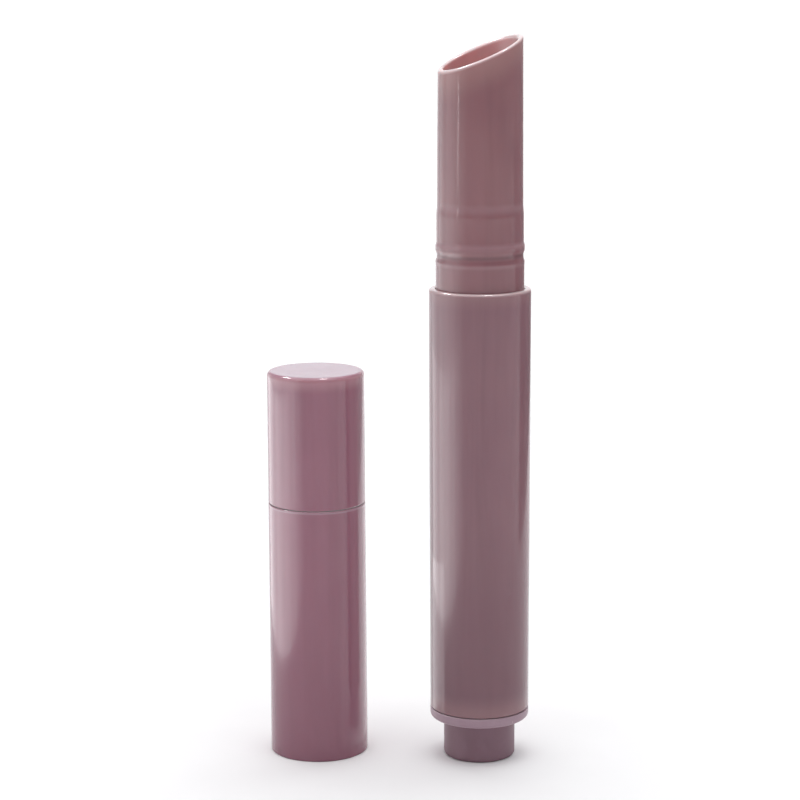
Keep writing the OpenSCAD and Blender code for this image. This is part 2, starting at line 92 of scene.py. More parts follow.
class ShaderSheet:
    """One material's node tree, with short calls for the nodes that its patterns need."""

    def __init__(self, name: str) -> None:
        """Starts an empty material.

        Args:
            name: The material's name.
        """
        self.material = bpy.data.materials.new(name)
        self.material.use_nodes = True
        self.tree = self.material.node_tree
        self.tree.nodes.clear()
        self.output = self.add("ShaderNodeOutputMaterial")
        self.coordinates = self.add("ShaderNodeTexCoord").outputs["Object"]

    def add(self, kind: str, **settings: object) -> bpy.types.Node:
        """Adds a node.

        Args:
            kind: The node's type name.
            **settings: Properties to set on the node.

        Returns:
            The new node.
        """
        node = self.tree.nodes.new(kind)
        for key, value in settings.items():
            setattr(node, key, value)
        return node

    def link(self, source: bpy.types.NodeSocket, target: bpy.types.NodeSocket) -> None:
        """Joins an output socket to an input socket."""
        self.tree.links.new(source, target)

    def feed(self, target: bpy.types.NodeSocket, value: object) -> None:
        """Sets an input to a value, or links it where the value is a socket.

        Args:
            target: The input socket.
            value: A number, a vector, a colour or an output socket.
        """
        if isinstance(value, bpy.types.NodeSocket):
            self.link(value, target)
        else:
            target.default_value = value

    def math(self, operation: str, first: object, second: object = 0.0, clamp: bool = False) -> bpy.types.NodeSocket:
        """Adds a Math node.

        Args:
            operation: The node's operation.
            first: The first value or socket.
            second: The second value or socket.
            clamp: Whether the result is kept between 0 and 1.

        Returns:
            The result.
        """
        node = self.add("ShaderNodeMath", operation=operation, use_clamp=clamp)
        self.feed(node.inputs[0], first)
        self.feed(node.inputs[1], second)
        return node.outputs[0]

    def placed(self, scale: Sequence[float], turn: Sequence[float] = (0.0, 0.0, 0.0),
               shift: Sequence[float] = (0.0, 0.0, 0.0)) -> bpy.types.NodeSocket:
        """Object coordinates, stretched and turned.

        Args:
            scale: Scale along each axis.
            turn: Rotation in radians about each axis.
            shift: Offset along each axis, after the scale.

        Returns:
            The mapped coordinates.
        """
        node = self.add("ShaderNodeMapping", vector_type="POINT")
        self.link(self.coordinates, node.inputs["Vector"])
        node.inputs["Scale"].default_value = scale
        node.inputs["Rotation"].default_value = turn
        node.inputs["Location"].default_value = shift
        return node.outputs["Vector"]

    def noise(self, scale: Sequence[float], detail: float = 3.0, roughness: float = 0.5,
              distortion: float = 0.0) -> bpy.types.NodeSocket:
        """Noise on stretched object coordinates.

        Args:
            scale: Cells a metre along each axis.
            detail: Octaves of detail.
            roughness: Strength of the fine octaves.
            distortion: Warp of the pattern.

        Returns:
            A value that runs about 0.5.
        """
        node = self.add("ShaderNodeTexNoise", noise_dimensions="3D")
        self.link(self.placed(scale), node.inputs["Vector"])
        node.inputs["Scale"].default_value = 1.0
        node.inputs["Detail"].default_value = detail
        node.inputs["Roughness"].default_value = roughness
        node.inputs["Distortion"].default_value = distortion
        return node.outputs["Fac"]

    def span(self, value: object, low: float, high: float, out_low: float = 0.0,
             out_high: float = 1.0, smooth: bool = True) -> bpy.types.NodeSocket:
        """Maps a range of values to another, held at its ends.

        Args:
            value: The value or socket to map.
            low: Value that gives out_low.
            high: Value that gives out_high.
            out_low: Result at low.
            out_high: Result at high.
            smooth: Whether the passage is eased.

        Returns:
            The mapped value.
        """
        node = self.add("ShaderNodeMapRange", interpolation_type="SMOOTHSTEP" if smooth else "LINEAR", clamp=True)
        self.feed(node.inputs["Value"], value)
        node.inputs["From Min"].default_value = low
        node.inputs["From Max"].default_value = high
        node.inputs["To Min"].default_value = out_low
        node.inputs["To Max"].default_value = out_high
        return node.outputs["Result"]

    def specks(self, per_metre: float, radius: float, share: float, seed: float) -> bpy.types.NodeSocket:
        """Scattered dots, one at most in each cell of a grid of points.

        Args:
            per_metre: Cells a metre.
            radius: Radius of a dot, as a share of a cell.
            share: Share of the cells that hold a dot.
            seed: Offset that moves the pattern.

        Returns:
            1 in a dot and 0 elsewhere.
        """
        node = self.add("ShaderNodeTexVoronoi", feature="F1", voronoi_dimensions="3D")
        self.link(self.placed((per_metre,) * 3, shift=(seed, -seed, seed)), node.inputs["Vector"])
        node.inputs["Scale"].default_value = 1.0
        split = self.add("ShaderNodeSeparateColor")
        self.link(node.outputs["Color"], split.inputs[0])
        chosen = self.math("LESS_THAN", split.outputs[0], share)
        size = self.math("MULTIPLY", split.outputs[1], radius)
        inside = self.math("LESS_THAN", node.outputs["Distance"], size)
        return self.math("MULTIPLY", chosen, inside)

    def mix(self, share: object, first: object, second: object, blend: str = "MIX") -> bpy.types.NodeSocket:
        """Mixes two colours.

        Args:
            share: Share of the second colour.
            first: The first colour or socket.
            second: The second colour or socket.
            blend: The way they mix.

        Returns:
            The mixed colour.
        """
        node = self.add("ShaderNodeMix", data_type="RGBA", blend_type=blend)
        self.feed(node.inputs[0], share)
        self.feed(node.inputs[6], first)
        self.feed(node.inputs[7], second)
        return node.outputs[2]

    def emboss(self, shader: bpy.types.Node, relief: bpy.types.NodeSocket, strength: float, depth: float) -> None:
        """Raises a shader's skin.

        Args:
            shader: The shader.
            relief: Height of the skin, about 0 to 1.
            strength: Strength of the relief.
            depth: Real height of the relief.
        """
        bump = self.add("ShaderNodeBump")
        bump.inputs["Strength"].default_value = strength
        bump.inputs["Distance"].default_value = depth
        self.link(relief, bump.inputs["Height"])
        self.link(bump.outputs["Normal"], shader.inputs["Normal"])

    def glow_inside(self, shader: bpy.types.Node, weight: float, travel: Colour, depth: float) -> None:
        """Lets light travel in a plastic.

        Args:
            shader: The shader.
            weight: Weight of the light that travels in the plastic.
            travel: Share of the depth that red, green and blue light travel.
            depth: Depth that red light travels.
        """
        shader.inputs["Subsurface Weight"].default_value = weight
        shader.inputs["Subsurface Radius"].default_value = travel
        shader.inputs["Subsurface Scale"].default_value = depth

    def finish(self, shader: bpy.types.Node) -> bpy.types.Material:
        """Joins a shader to the output.

        Args:
            shader: The shader.

        Returns:
            The finished material.
        """
        self.link(shader.outputs[0], self.output.inputs["Surface"])
        return self.material


def opaque(colour: Colour) -> tuple[float, float, float, float]:
    """A colour with full alpha, as sockets take it."""
    return (*colour, 1.0)


@dataclass(frozen=True)
class PaintedBand:
    """A band of colour painted along a level or sloping line: painted glow under thin rims, painted highlights and
    painted shade.

    Args:
        top: Height of the band's line at the object's origin axis.
        depth: Distance over which the band fades below its line.
        tilt: Slope of the line, in radians.
        turn: Direction of the line's high side from +X, in radians.
        strength: Share of the band's colour at its line.
        colour: Colour of the band, or None for the plastic's warm colour.
        above: Distance over which it fades above its top, or 0 where the plastic ends there.
    """

    top: float
    depth: float
    tilt: float = 0.0
    turn: float = 0.0
    strength: float = 0.5
    colour: Colour | None = None
    above: float = 0.0


@dataclass(frozen=True)
class GlossPlastic:
    """Injection-moulded opaque plastic with a gloss skin, flow marks, dust specks and smudges, and painted bands of
    light and shade.

    Args:
        name: The material's name.
        colour: Mass colour.
        deep: Colour of the flow marks.
        cloud_and_painted_glow: Colour of the warm clouds, and the default colour of the painted glow under thin
            rims.
        roughness: Roughness of a clean spot.
        painted_bands: Bands of painted glow, painted highlight and painted shade.
        scatter: Weight of the light that travels in the plastic.
        seed: Offset that gives each piece its own pattern.
        flow: Cells a metre of the flow marks.
        cloud: Cells a metre of the warm clouds.
        smudge: Cells a metre of the smudges.
        peel: Cells a metre of the moulded skin's waviness.
        draw: Cells a metre of the draw lines.
        dark_dust: Cells a metre, radius and share of the dark specks.
        pale_dust: Cells a metre, radius and share of the pale specks.
        dust_colour: Colour of the pale specks.
        travel: Share of the depth that red, green and blue light travel.
        travel_depth: Depth that red light travels.
        index: Refractive index.
        coat: Weight and roughness of the polished skin.
        relief: Real height of the skin's relief.
    """

    name: str
    colour: Colour
    deep: Colour
    cloud_and_painted_glow: Colour
    roughness: float = 0.12
    painted_bands: tuple[PaintedBand, ...] = ()
    scatter: float = 0.25
    seed: float = 0.0
    flow: Cells = (420.0, 420.0, 26.0)
    cloud: Cells = (95.0, 95.0, 60.0)
    smudge: Cells = (170.0, 170.0, 85.0)
    peel: Cells = (900.0, 900.0, 500.0)
    draw: Cells = (1500.0, 1500.0, 22.0)
    dark_dust: Cells = (310.0, 0.055, 0.045)
    pale_dust: Cells = (420.0, 0.05, 0.06)
    dust_colour: Colour = (0.72, 0.62, 0.62)
    travel: Colour = (1.0, 0.45, 0.4)
    travel_depth: float = 1.1 * MM
    index: float = 1.5
    coat: Point = (0.25, 0.06)
    relief: float = 0.012 * MM

    def build(self) -> bpy.types.Material:
        """Makes the material.

        Returns:
            The new material.
        """
        sheet = ShaderSheet(self.name)
        shader = sheet.add("ShaderNodeBsdfPrincipled")
        flow = sheet.noise(self.flow, detail=4.0, distortion=0.6)
        cloud = sheet.noise(self.cloud, detail=2.0)
        colour = sheet.mix(sheet.span(flow, 0.38, 0.68, 0.0, 0.55), opaque(self.colour), opaque(self.deep))
        colour = sheet.mix(sheet.span(cloud, 0.3, 0.75, 0.0, 0.22), colour, opaque(self.cloud_and_painted_glow))
        # Painted bands: painted glow, painted highlights and painted shade mixed into the base colour.
        for band in self.painted_bands:
            colour = sheet.mix(self._painted_share(sheet, band), colour, opaque(band.colour or self.cloud_and_painted_glow))
        dark = sheet.specks(*self.dark_dust, self.seed)
        pale = sheet.specks(*self.pale_dust, self.seed + 5.3)
        colour = sheet.mix(sheet.math("MULTIPLY", dark, 0.75), colour, opaque(tuple(0.35 * c for c in self.deep)))
        colour = sheet.mix(sheet.math("MULTIPLY", pale, 0.7), colour, opaque(self.dust_colour))
        sheet.link(colour, shader.inputs["Base Color"])
        smudge = sheet.noise(self.smudge, detail=5.0, roughness=0.65, distortion=0.8)
        rough = sheet.span(smudge, 0.35, 0.8, self.roughness, self.roughness + 0.12)
        dust = sheet.math("MAXIMUM", dark, pale)
        rough = sheet.math("ADD", rough, sheet.math("MULTIPLY", dust, 0.4), clamp=True)
        sheet.link(rough, shader.inputs["Roughness"])
        peel = sheet.noise(self.peel, detail=3.0)
        draw = sheet.noise(self.draw, detail=2.0)
        relief = sheet.math("ADD", sheet.math("MULTIPLY", peel, 0.55), sheet.math("MULTIPLY", draw, 0.35))
        relief = sheet.math("ADD", relief, sheet.math("MULTIPLY", dust, 1.6))
        sheet.emboss(shader, relief, 0.32, self.relief)
        sheet.glow_inside(shader, self.scatter, self.travel, self.travel_depth)
        shader.inputs["IOR"].default_value = self.index
        shader.inputs["Coat Weight"].default_value, shader.inputs["Coat Roughness"].default_value = self.coat
        return sheet.finish(shader)

    @staticmethod
    def _painted_share(sheet: ShaderSheet, band: PaintedBand) -> bpy.types.NodeSocket:
        """Share of a painted band's colour near its line.

        Args:
            sheet: The material being built.
            band: The band's place and slope.

        Returns:
            The share, strongest at the band's line.
        """
        split = sheet.add("ShaderNodeSeparateXYZ")
        sheet.link(sheet.coordinates, split.inputs[0])
        rise = math.tan(band.tilt)
        along_x = sheet.math("MULTIPLY", split.outputs["X"], -rise * math.cos(band.turn))
        along_y = sheet.math("MULTIPLY", split.outputs["Y"], -rise * math.sin(band.turn))
        level = sheet.math("ADD", split.outputs["Z"], sheet.math("ADD", along_x, along_y))
        share = sheet.span(level, band.top - band.depth, band.top, 0.0, band.strength)
        if band.above:
            share = sheet.math("MULTIPLY", share, sheet.span(level, band.top, band.top + band.above, 1.0, 0.0))
        return share


@dataclass(frozen=True)
class SatinPlastic:
    """Moulded plastic with a fine spark-eroded satin skin and rubbed patches.

    Args:
        name: The material's name.
        colour: Mass colour.
        rubbed: Colour where handling has polished or dusted the skin.
        roughness: Roughness of the clean skin.
        grain: Grain cells a metre.
        seed: Offset of the specks.
        patch: Cells a metre of the rubbed patches.
        dust: Cells a metre, radius and share of the pale specks.
        dust_colour: Colour of the pale specks.
        scatter: Weight of the light that travels in the plastic.
        travel: Share of the depth that red, green and blue light travel.
        travel_depth: Depth that red light travels.
        index: Refractive index.
        relief: Real height of the skin's relief.
    """

    name: str
    colour: Colour
    rubbed: Colour
    roughness: float = 0.42
    grain: float = 5200.0
    seed: float = 0.0
    patch: Cells = (230.0, 230.0, 190.0)
    dust: Cells = (620.0, 0.07, 0.07)
    dust_colour: Colour = (0.75, 0.68, 0.7)
    scatter: float = 0.12
    travel: Colour = (1.0, 0.5, 0.45)
    travel_depth: float = 0.8 * MM
    index: float = 1.5
    relief: float = 0.01 * MM

    def build(self) -> bpy.types.Material:
        """Makes the material.

        Returns:
            The new material.
        """
        sheet = ShaderSheet(self.name)
        shader = sheet.add("ShaderNodeBsdfPrincipled")
        patch = sheet.noise(self.patch, detail=5.0, roughness=0.6, distortion=0.5)
        colour = sheet.mix(sheet.span(patch, 0.42, 0.72, 0.0, 0.4), opaque(self.colour), opaque(self.rubbed))
        pale = sheet.specks(*self.dust, self.seed)
        colour = sheet.mix(sheet.math("MULTIPLY", pale, 0.6), colour, opaque(self.dust_colour))
        sheet.link(colour, shader.inputs["Base Color"])
        sheet.link(sheet.span(patch, 0.3, 0.75, self.roughness - 0.07, self.roughness + 0.1),
                   shader.inputs["Roughness"])
        grain = sheet.noise((self.grain,) * 3, detail=2.0)
        sheet.emboss(shader, sheet.math("ADD", grain, sheet.math("MULTIPLY", pale, 1.2)), 0.35, self.relief)
        sheet.glow_inside(shader, self.scatter, self.travel, self.travel_depth)
        shader.inputs["IOR"].default_value = self.index
        return sheet.finish(shader)


@dataclass(frozen=True)
class SpringSteel:
    """Drawn steel wire with fine lengthwise lines and a trace of oil.

    Args:
        name: The material's name.
        colour: Colour of the bare metal.
        oil: Cells a metre of the oil film.
        lines: Cells a metre of the drawn lines.
        relief: Real height of the lines.
    """

    name: str
    colour: Colour
    oil: Cells = (900.0, 900.0, 600.0)
    lines: Cells = (2600.0, 2600.0, 9000.0)
    relief: float = 0.006 * MM

    def build(self) -> bpy.types.Material:
        """Makes the material.

        Returns:
            The new material.
        """
        sheet = ShaderSheet(self.name)
        shader = sheet.add("ShaderNodeBsdfPrincipled")
        oil = sheet.noise(self.oil, detail=4.0, distortion=1.0)
        shade = tuple(0.72 * c for c in self.colour)
        sheet.link(sheet.mix(sheet.span(oil, 0.4, 0.7), opaque(self.colour), opaque(shade)),
                   shader.inputs["Base Color"])
        sheet.link(sheet.span(oil, 0.35, 0.75, 0.2, 0.38), shader.inputs["Roughness"])
        sheet.emboss(shader, sheet.noise(self.lines, detail=2.0), 0.3, self.relief)
        shader.inputs["Metallic"].default_value = 1.0
        return sheet.finish(shader)


@dataclass(frozen=True)
class SealRubber:
    """Matt moulded rubber or foam with a powdery bloom.

    Args:
        name: The material's name.
        colour: Mass colour.
        bloom: Colour of the bloom.
        pores: Pores a metre.
        powder: Cells a metre of the bloom.
        relief: Real depth of the pores.
    """

    name: str
    colour: Colour
    bloom: Colour
    pores: float = 3000.0
    powder: float = 520.0
    relief: float = 0.02 * MM

    def build(self) -> bpy.types.Material:
        """Makes the material.

        Returns:
            The new material.
        """
        sheet = ShaderSheet(self.name)
        shader = sheet.add("ShaderNodeBsdfPrincipled")
        powder = sheet.noise((self.powder,) * 3, detail=6.0, roughness=0.7)
        sheet.link(sheet.mix(sheet.span(powder, 0.4, 0.75, 0.0, 0.6), opaque(self.colour), opaque(self.bloom)),
                   shader.inputs["Base Color"])
        sheet.link(sheet.span(powder, 0.3, 0.7, 0.5, 0.72), shader.inputs["Roughness"])
        pore = sheet.add("ShaderNodeTexVoronoi", feature="F1")
        sheet.link(sheet.placed((self.pores,) * 3), pore.inputs["Vector"])
        pore.inputs["Scale"].default_value = 1.0
        sheet.emboss(shader, pore.outputs["Distance"], 0.4, self.relief)
        return sheet.finish(shader)


# ---------------------------------------------------------------- turned shells


@dataclass(frozen=True)
class Corner:
    """A corner of a turned piece's outline.

    Args:
        r: Distance from the axis.
        z: Height.
        round: Radius of the rounding, 0 for a sharp corner.
    """

    r: float
    z: float
    round: float = 0.0


def rounded(corners: Sequence[Corner], steps: int = 7) -> list[Point]:
    """Rounds the corners of a closed outline, with a support point beside each rounding.

    Args:
        corners: The outline's corners in order.
        steps: Segments in each rounding.

    Returns:
        The outline's points in order.
    """
    points: list[Point] = []
    count = len(corners)
    for i, corner in enumerate(corners):
        here = Vector((corner.r, corner.z))
        before = Vector((corners[i - 1].r, corners[i - 1].z)) - here
        after = Vector((corners[(i + 1) % count].r, corners[(i + 1) % count].z)) - here
        if corner.round <= 0.0:
            points.append((here.x, here.y))
            continue
        half = before.angle(after) / 2.0
        reach = min(corner.round / math.tan(half), before.length * 0.48, after.length * 0.48)
        radius = reach * math.tan(half)
        towards = (before.normalized() + after.normalized()).normalized()
        centre = here + towards * (radius / math.sin(half))
        start = here + before.normalized() * reach
        end = here + after.normalized() * reach
        first = math.atan2(start.y - centre.y, start.x - centre.x)
        sweep = math.atan2(end.y - centre.y, end.x - centre.x) - first
        sweep = (sweep + math.pi) % (2.0 * math.pi) - math.pi
        support = min(0.25 * radius, 0.02 * min(before.length, after.length))
        points.append(tuple(start + before.normalized() * support))
        for k in range(steps + 1):
            angle = first + sweep * k / steps
            points.append((centre.x + radius * math.cos(angle), centre.y + radius * math.sin(angle)))
        points.append(tuple(end + after.normalized() * support))
    return points


def shade_faces(obj: bpy.types.Object, material: bpy.types.Material, axis: Point, reach: float,
                low: float, high: float) -> None:
    """Gives a second material to the faces near an axis and between two heights.

    Args:
        obj: The piece, which has its first material.
        material: The second material.
        axis: Place of the axis.
        reach: Greatest distance from the axis.
        low: Lowest height.
        high: Greatest height.
    """
    obj.data.materials.append(material)
    for face in obj.data.polygons:
        middle = face.center
        if math.hypot(middle.x - axis[0], middle.y - axis[1]) < reach and low <= middle.z <= high:
            face.material_index = 1


def eased(start: Point, end: Point, steps: int = 10) -> list[Point]:
    """A smooth S-shaped passage between two points of an outline.

    Args:
        start: The first point.
        end: The last point.
        steps: Segments in the passage.

    Returns:
        The points after the first one.
    """
    shares = [k / steps for k in range(1, steps + 1)]
    return [(start[0] + (end[0] - start[0]) * t * t * (3.0 - 2.0 * t), start[1] + (end[1] - start[1]) * t)
            for t in shares]


def piece(name: str, mesh: bpy.types.Mesh) -> bpy.types.Object:
    """Puts a mesh in the scene as an object at the origin.

    Args:
        name: The piece's name.
        mesh: Its mesh, in the row frame.

    Returns:
        The new object.
    """
    obj = bpy.data.objects.new(name, mesh)
    bpy.context.scene.collection.objects.link(obj)
    return obj


@dataclass(frozen=True)
class Lathe:
    """Turns an outline round a vertical axis into a closed shell.

    Args:
        centre: Place of the axis.
        segments: Faces round the axis.
        lift: Height to add to a point, given its place relative to the axis.
    """

    centre: Point = (0.0, 0.0)
    segments: int = 160
    lift: Callable[[float, float, float], float] | None = None

    def turn(self, name: str, outline: Sequence[Point]) -> bpy.types.Object:
        """Makes the shell.

        Args:
            name: The piece's name.
            outline: Closed outline of (radius, height) points.

        Returns:
            The new object, smooth but for its sharp edges.
        """
        work = bmesh.new()
        rings = [self._ring(work, r, z) for r, z in outline]
        for i, ring in enumerate(rings):
            self._wall(work, rings[i - 1], ring)
        bmesh.ops.recalc_face_normals(work, faces=work.faces)
        mesh = bpy.data.meshes.new(name)
        work.to_mesh(mesh)
        work.free()
        mesh.shade_smooth()
        mesh.set_sharp_from_angle(angle=math.radians(32.0))
        return piece(name, mesh)

    def _ring(self, work: bmesh.types.BMesh, r: float, z: float) -> list[bmesh.types.BMVert]:
        """Vertices of one outline point, a single one on the axis.

        Args:
            work: The mesh being built.
            r: Distance from the axis.
            z: Height.

        Returns:
            The ring's vertices in order.
        """
        if r < 1e-7:
            return [work.verts.new((self.centre[0], self.centre[1], z))]
        ring = []
        for k in range(self.segments):
            angle = 2.0 * math.pi * k / self.segments
            x, y = r * math.cos(angle), r * math.sin(angle)
            rise = self.lift(x, y, z) if self.lift else 0.0
            ring.append(work.verts.new((self.centre[0] + x, self.centre[1] + y, z + rise)))
        return ring

    def _wall(self, work: bmesh.types.BMesh, low: list[bmesh.types.BMVert],
              high: list[bmesh.types.BMVert]) -> None:
        """Faces between two neighbouring rings.

        Args:
            work: The mesh being built.
            low: The first ring.
            high: The second ring.
        """
        if len(low) == 1 and len(high) == 1:
            return
        for k in range(self.segments):
            after = (k + 1) % self.segments
            if len(low) == 1:
                work.faces.new((low[0], high[after], high[k]))
            elif len(high) == 1:
                work.faces.new((low[k], low[after], high[0]))
            else:
                work.faces.new((low[k], low[after], high[after], high[k]))


# ---------------------------------------------------------------- Geometry Nodes


class GeometrySheet:
    """A Geometry Nodes tree with named inputs, built in the script and turned into a plain mesh."""

    def __init__(self, name: str) -> None:
        """Starts an empty tree with a geometry output.

        Args:
            name: The tree's name.
        """
        self.tree = bpy.data.node_groups.new(name, "GeometryNodeTree")
        self.tree.interface.new_socket("Geometry", in_out="OUTPUT", socket_type="NodeSocketGeometry")
        self.entry = self.tree.nodes.new("NodeGroupInput")
        self.exit = self.tree.nodes.new("NodeGroupOutput")
        self.values: dict[str, object] = {}

    def size(self, name: str, value: float | int, kind: str = "NodeSocketFloat") -> bpy.types.NodeSocket:
        """Adds a named input and the value it will get.

        Args:
            name: The input's name.
            value: Its value.
            kind: Its socket type.

        Returns:
            The socket to read it from.
        """
        item = self.tree.interface.new_socket(name, in_out="INPUT", socket_type=kind)
        self.values[item.identifier] = value
        return self.entry.outputs[name]

    def add(self, kind: str, **settings: object) -> bpy.types.Node:
        """Adds a node.

        Args:
            kind: The node's type name.
            **settings: Properties to set on the node.

        Returns:
            The new node.
        """
        node = self.tree.nodes.new(kind)
        for key, value in settings.items():
            setattr(node, key, value)
        return node

    def feed(self, target: bpy.types.NodeSocket, value: object) -> None:
        """Sets an input to a value, or links it where the value is a socket."""
        if isinstance(value, bpy.types.NodeSocket):
            self.tree.links.new(value, target)
        else:
            target.default_value = value

    def math(self, operation: str, first: object, second: object = 0.0) -> bpy.types.NodeSocket:
        """Adds a Math node.

        Args:
            operation: The node's operation.
            first: The first value or socket.
            second: The second value or socket.

        Returns:
            The result.
        """
        node = self.add("ShaderNodeMath", operation=operation)
        self.feed(node.inputs[0], first)
        self.feed(node.inputs[1], second)
        return node.outputs[0]

    def stretch(self, value: object, low: object, high: object, gain: object) -> bpy.types.NodeSocket:
        """Rises from 0 at low to gain at high, and is held beyond them.

        Args:
            value: The value or socket to map.
            low: Where the rise starts.
            high: Where the rise ends.
            gain: Height of the rise.

        Returns:
            The mapped value.
        """
        node = self.add("ShaderNodeMapRange", clamp=True)
        for key, part in (("Value", value), ("From Min", low), ("From Max", high), ("To Max", gain)):
            self.feed(node.inputs[key], part)
        node.inputs["To Min"].default_value = 0.0
        return node.outputs["Result"]

    def position(self) -> tuple[bpy.types.NodeSocket, bpy.types.NodeSocket, bpy.types.NodeSocket]:
        """X, Y and Z of each point."""
        split = self.add("ShaderNodeSeparateXYZ")
        self.feed(split.inputs[0], self.add("GeometryNodeInputPosition").outputs[0])
        return split.outputs["X"], split.outputs["Y"], split.outputs["Z"]

    def place(self, geometry: bpy.types.NodeSocket, x: object, y: object, z: object) -> bpy.types.NodeSocket:
        """Moves each point to X, Y and Z.

        Args:
            geometry: The geometry to move.
            x: New X.
            y: New Y.
            z: New Z.

        Returns:
            The moved geometry.
        """
        join = self.add("ShaderNodeCombineXYZ")
        for i, part in enumerate((x, y, z)):
            self.feed(join.inputs[i], part)
        node = self.add("GeometryNodeSetPosition")
        self.feed(node.inputs["Geometry"], geometry)
        self.feed(node.inputs["Position"], join.outputs[0])
        return node.outputs[0]

    def bake(self, name: str, geometry: bpy.types.NodeSocket, material: bpy.types.Material) -> bpy.types.Object:
        """Ends the tree, runs it and keeps the result as a plain mesh.

        Args:
            name: The piece's name.
            geometry: The finished geometry.
            material: The material to set on it.

        Returns:
            The new object.
        """
        real = self.add("GeometryNodeRealizeInstances")
        dressed = self.add("GeometryNodeSetMaterial")
        dressed.inputs["Material"].default_value = material
        self.feed(real.inputs[0], geometry)
        self.feed(dressed.inputs[0], real.outputs[0])
        self.feed(self.exit.inputs[0], dressed.outputs[0])
        host = piece(name + ".host", bpy.data.meshes.new(name + ".host"))
        modifier = host.modifiers.new("shape", "NODES")
        modifier.node_group = self.tree
        for identifier, value in self.values.items():
            modifier[identifier] = value
        host.data.update()
        graph = bpy.context.evaluated_depsgraph_get()
        mesh = bpy.data.meshes.new_from_object(host.evaluated_get(graph), depsgraph=graph)
        bpy.data.objects.remove(host)
        mesh.name = name
        work = bmesh.new()
        work.from_mesh(mesh)
        bmesh.ops.remove_doubles(work, verts=work.verts, dist=1e-8)
        bmesh.ops.recalc_face_normals(work, faces=work.faces)
        work.to_mesh(mesh)
        work.free()
        mesh.shade_smooth()
        mesh.set_sharp_from_angle(angle=math.radians(40.0))
        return piece(name, mesh)


# ---------------------------------------------------------------- sub-assemblies


@lru_cache(maxsize=None)
def span_of(node: str) -> tuple[Vector, Vector]:
    """Lowest and highest corner of a CAD node, as vectors."""
    low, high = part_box(node)
    return Vector(low), Vector(high)


def radius_of(node: str) -> float:
    """Half the width of a round CAD node along X."""
    low, high = span_of(node)
    return (high.x - low.x) / 2.0


def dress(obj: bpy.types.Object, material: bpy.types.Material) -> None:
    """Gives a piece its one material.

    Args:
        obj: The piece.
        material: The material.
    """
    obj.data.materials.clear()
    obj.data.materials.append(material)


def fit(obj: bpy.types.Object, body: Body, slot: Slot, *nodes: str) -> None:
    """Sets a piece on its body, in place of its CAD nodes.

    Args:
        obj: The piece.
        body: The body it rides on.
        slot: The record's slot it is finished as; not used.
        *nodes: The CAD nodes it stands for.
    """
    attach(obj, body.value)
    if nodes:
        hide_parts(*nodes)
    LOG.info("%s rides on %s with %d faces", obj.name, body.value, len(obj.data.polygons))


@dataclass
class TubeShell:
    """The outer sleeve, the end ring and the push button, which share the tube's axis."""

    sleeve_wall: float = 0.95 * MM
    collar_round: float = 0.4 * MM
    edge_round: float = 0.14 * MM
    ring_round: float = 0.62 * MM
    button_round: float = 0.5 * MM
    button_wall: float = 0.9 * MM
    slide_gap: float = 0.03 * MM
    seat_gap: float = 0.05 * MM
    button_floor: float = 1.4 * MM
    lip: float = 2.5 * MM
    hole_gap: float = 0.07 * MM
    case_wall: float = 0.8 * MM
    draft: float = 0.15 * MM
    parting: float = 0.12 * MM
    lathe: Lathe = field(default_factory=Lathe)

    def sleeve(self, finish: bpy.types.Material) -> None:
        """Builds the outer sleeve.

        Args:
            finish: Its material.
        """
        low, high = span_of("outer_sleeve")
        outer = radius_of("outer_sleeve")
        bore = outer - self.sleeve_wall
        shell = self.lathe.turn("sleeve_shell", rounded([
            Corner(bore, low.z, self.edge_round / 2), Corner(outer - self.draft, low.z, self.edge_round),
            Corner(outer, high.z, self.collar_round), Corner(bore, high.z, self.edge_round)]))
        dress(shell, finish)
        fit(shell, Body.TUBE, Slot.SLEEVE, "outer_sleeve")

    def end_ring(self, finish: bpy.types.Material) -> None:
        """Builds the end ring with its spigot in the sleeve.

        Args:
            finish: Its material.
        """
        low, high = span_of("end_ring")
        sleeve_low = span_of("outer_sleeve")[0].z
        outer = radius_of("end_ring")
        spigot = radius_of("mechanism_case")
        bore = spigot - self.case_wall
        hole = self._button_radius() + self.hole_gap
        shoulder = sleeve_low - self.parting
        ring = self.lathe.turn("end_ring_shell", rounded([
            Corner(hole, low.z, self.edge_round / 2), Corner(outer, low.z, self.ring_round),
            Corner(outer, shoulder, self.edge_round), Corner(spigot, shoulder), Corner(spigot, high.z),
            Corner(bore, high.z), Corner(bore, low.z + self.lip), Corner(hole, low.z + self.lip)]))
        dress(ring, finish)
        fit(ring, Body.TUBE, Slot.BUTTON, "end_ring")

    def button(self, finish: bpy.types.Material) -> None:
        """Builds the push button with its retaining flange.

        Args:
            finish: Its material.
        """
        low, high = span_of("push_button")
        outer = self._button_radius()
        bore = outer - self.button_wall
        flange = radius_of("ratchet_rotor")
        flange_low = span_of("end_ring")[0].z + self.lip + self.seat_gap
        shell = self.lathe.turn("push_button_shell", rounded([
            Corner(0.0, low.z), Corner(outer, low.z, self.button_round), Corner(outer, flange_low),
            Corner(flange, flange_low, self.edge_round), Corner(flange, high.z, self.edge_round),
            Corner(bore, high.z), Corner(bore, low.z + self.button_floor), Corner(0.0, low.z + self.button_floor)]))
        dress(shell, finish)
        fit(shell, Body.BUTTON, Slot.BUTTON, "push_button")

    def _button_radius(self) -> float:
        """Radius of the button below its flange, from the drive cam that is pressed in it."""
        return radius_of("drive_cam") + self.button_wall + self.slide_gap


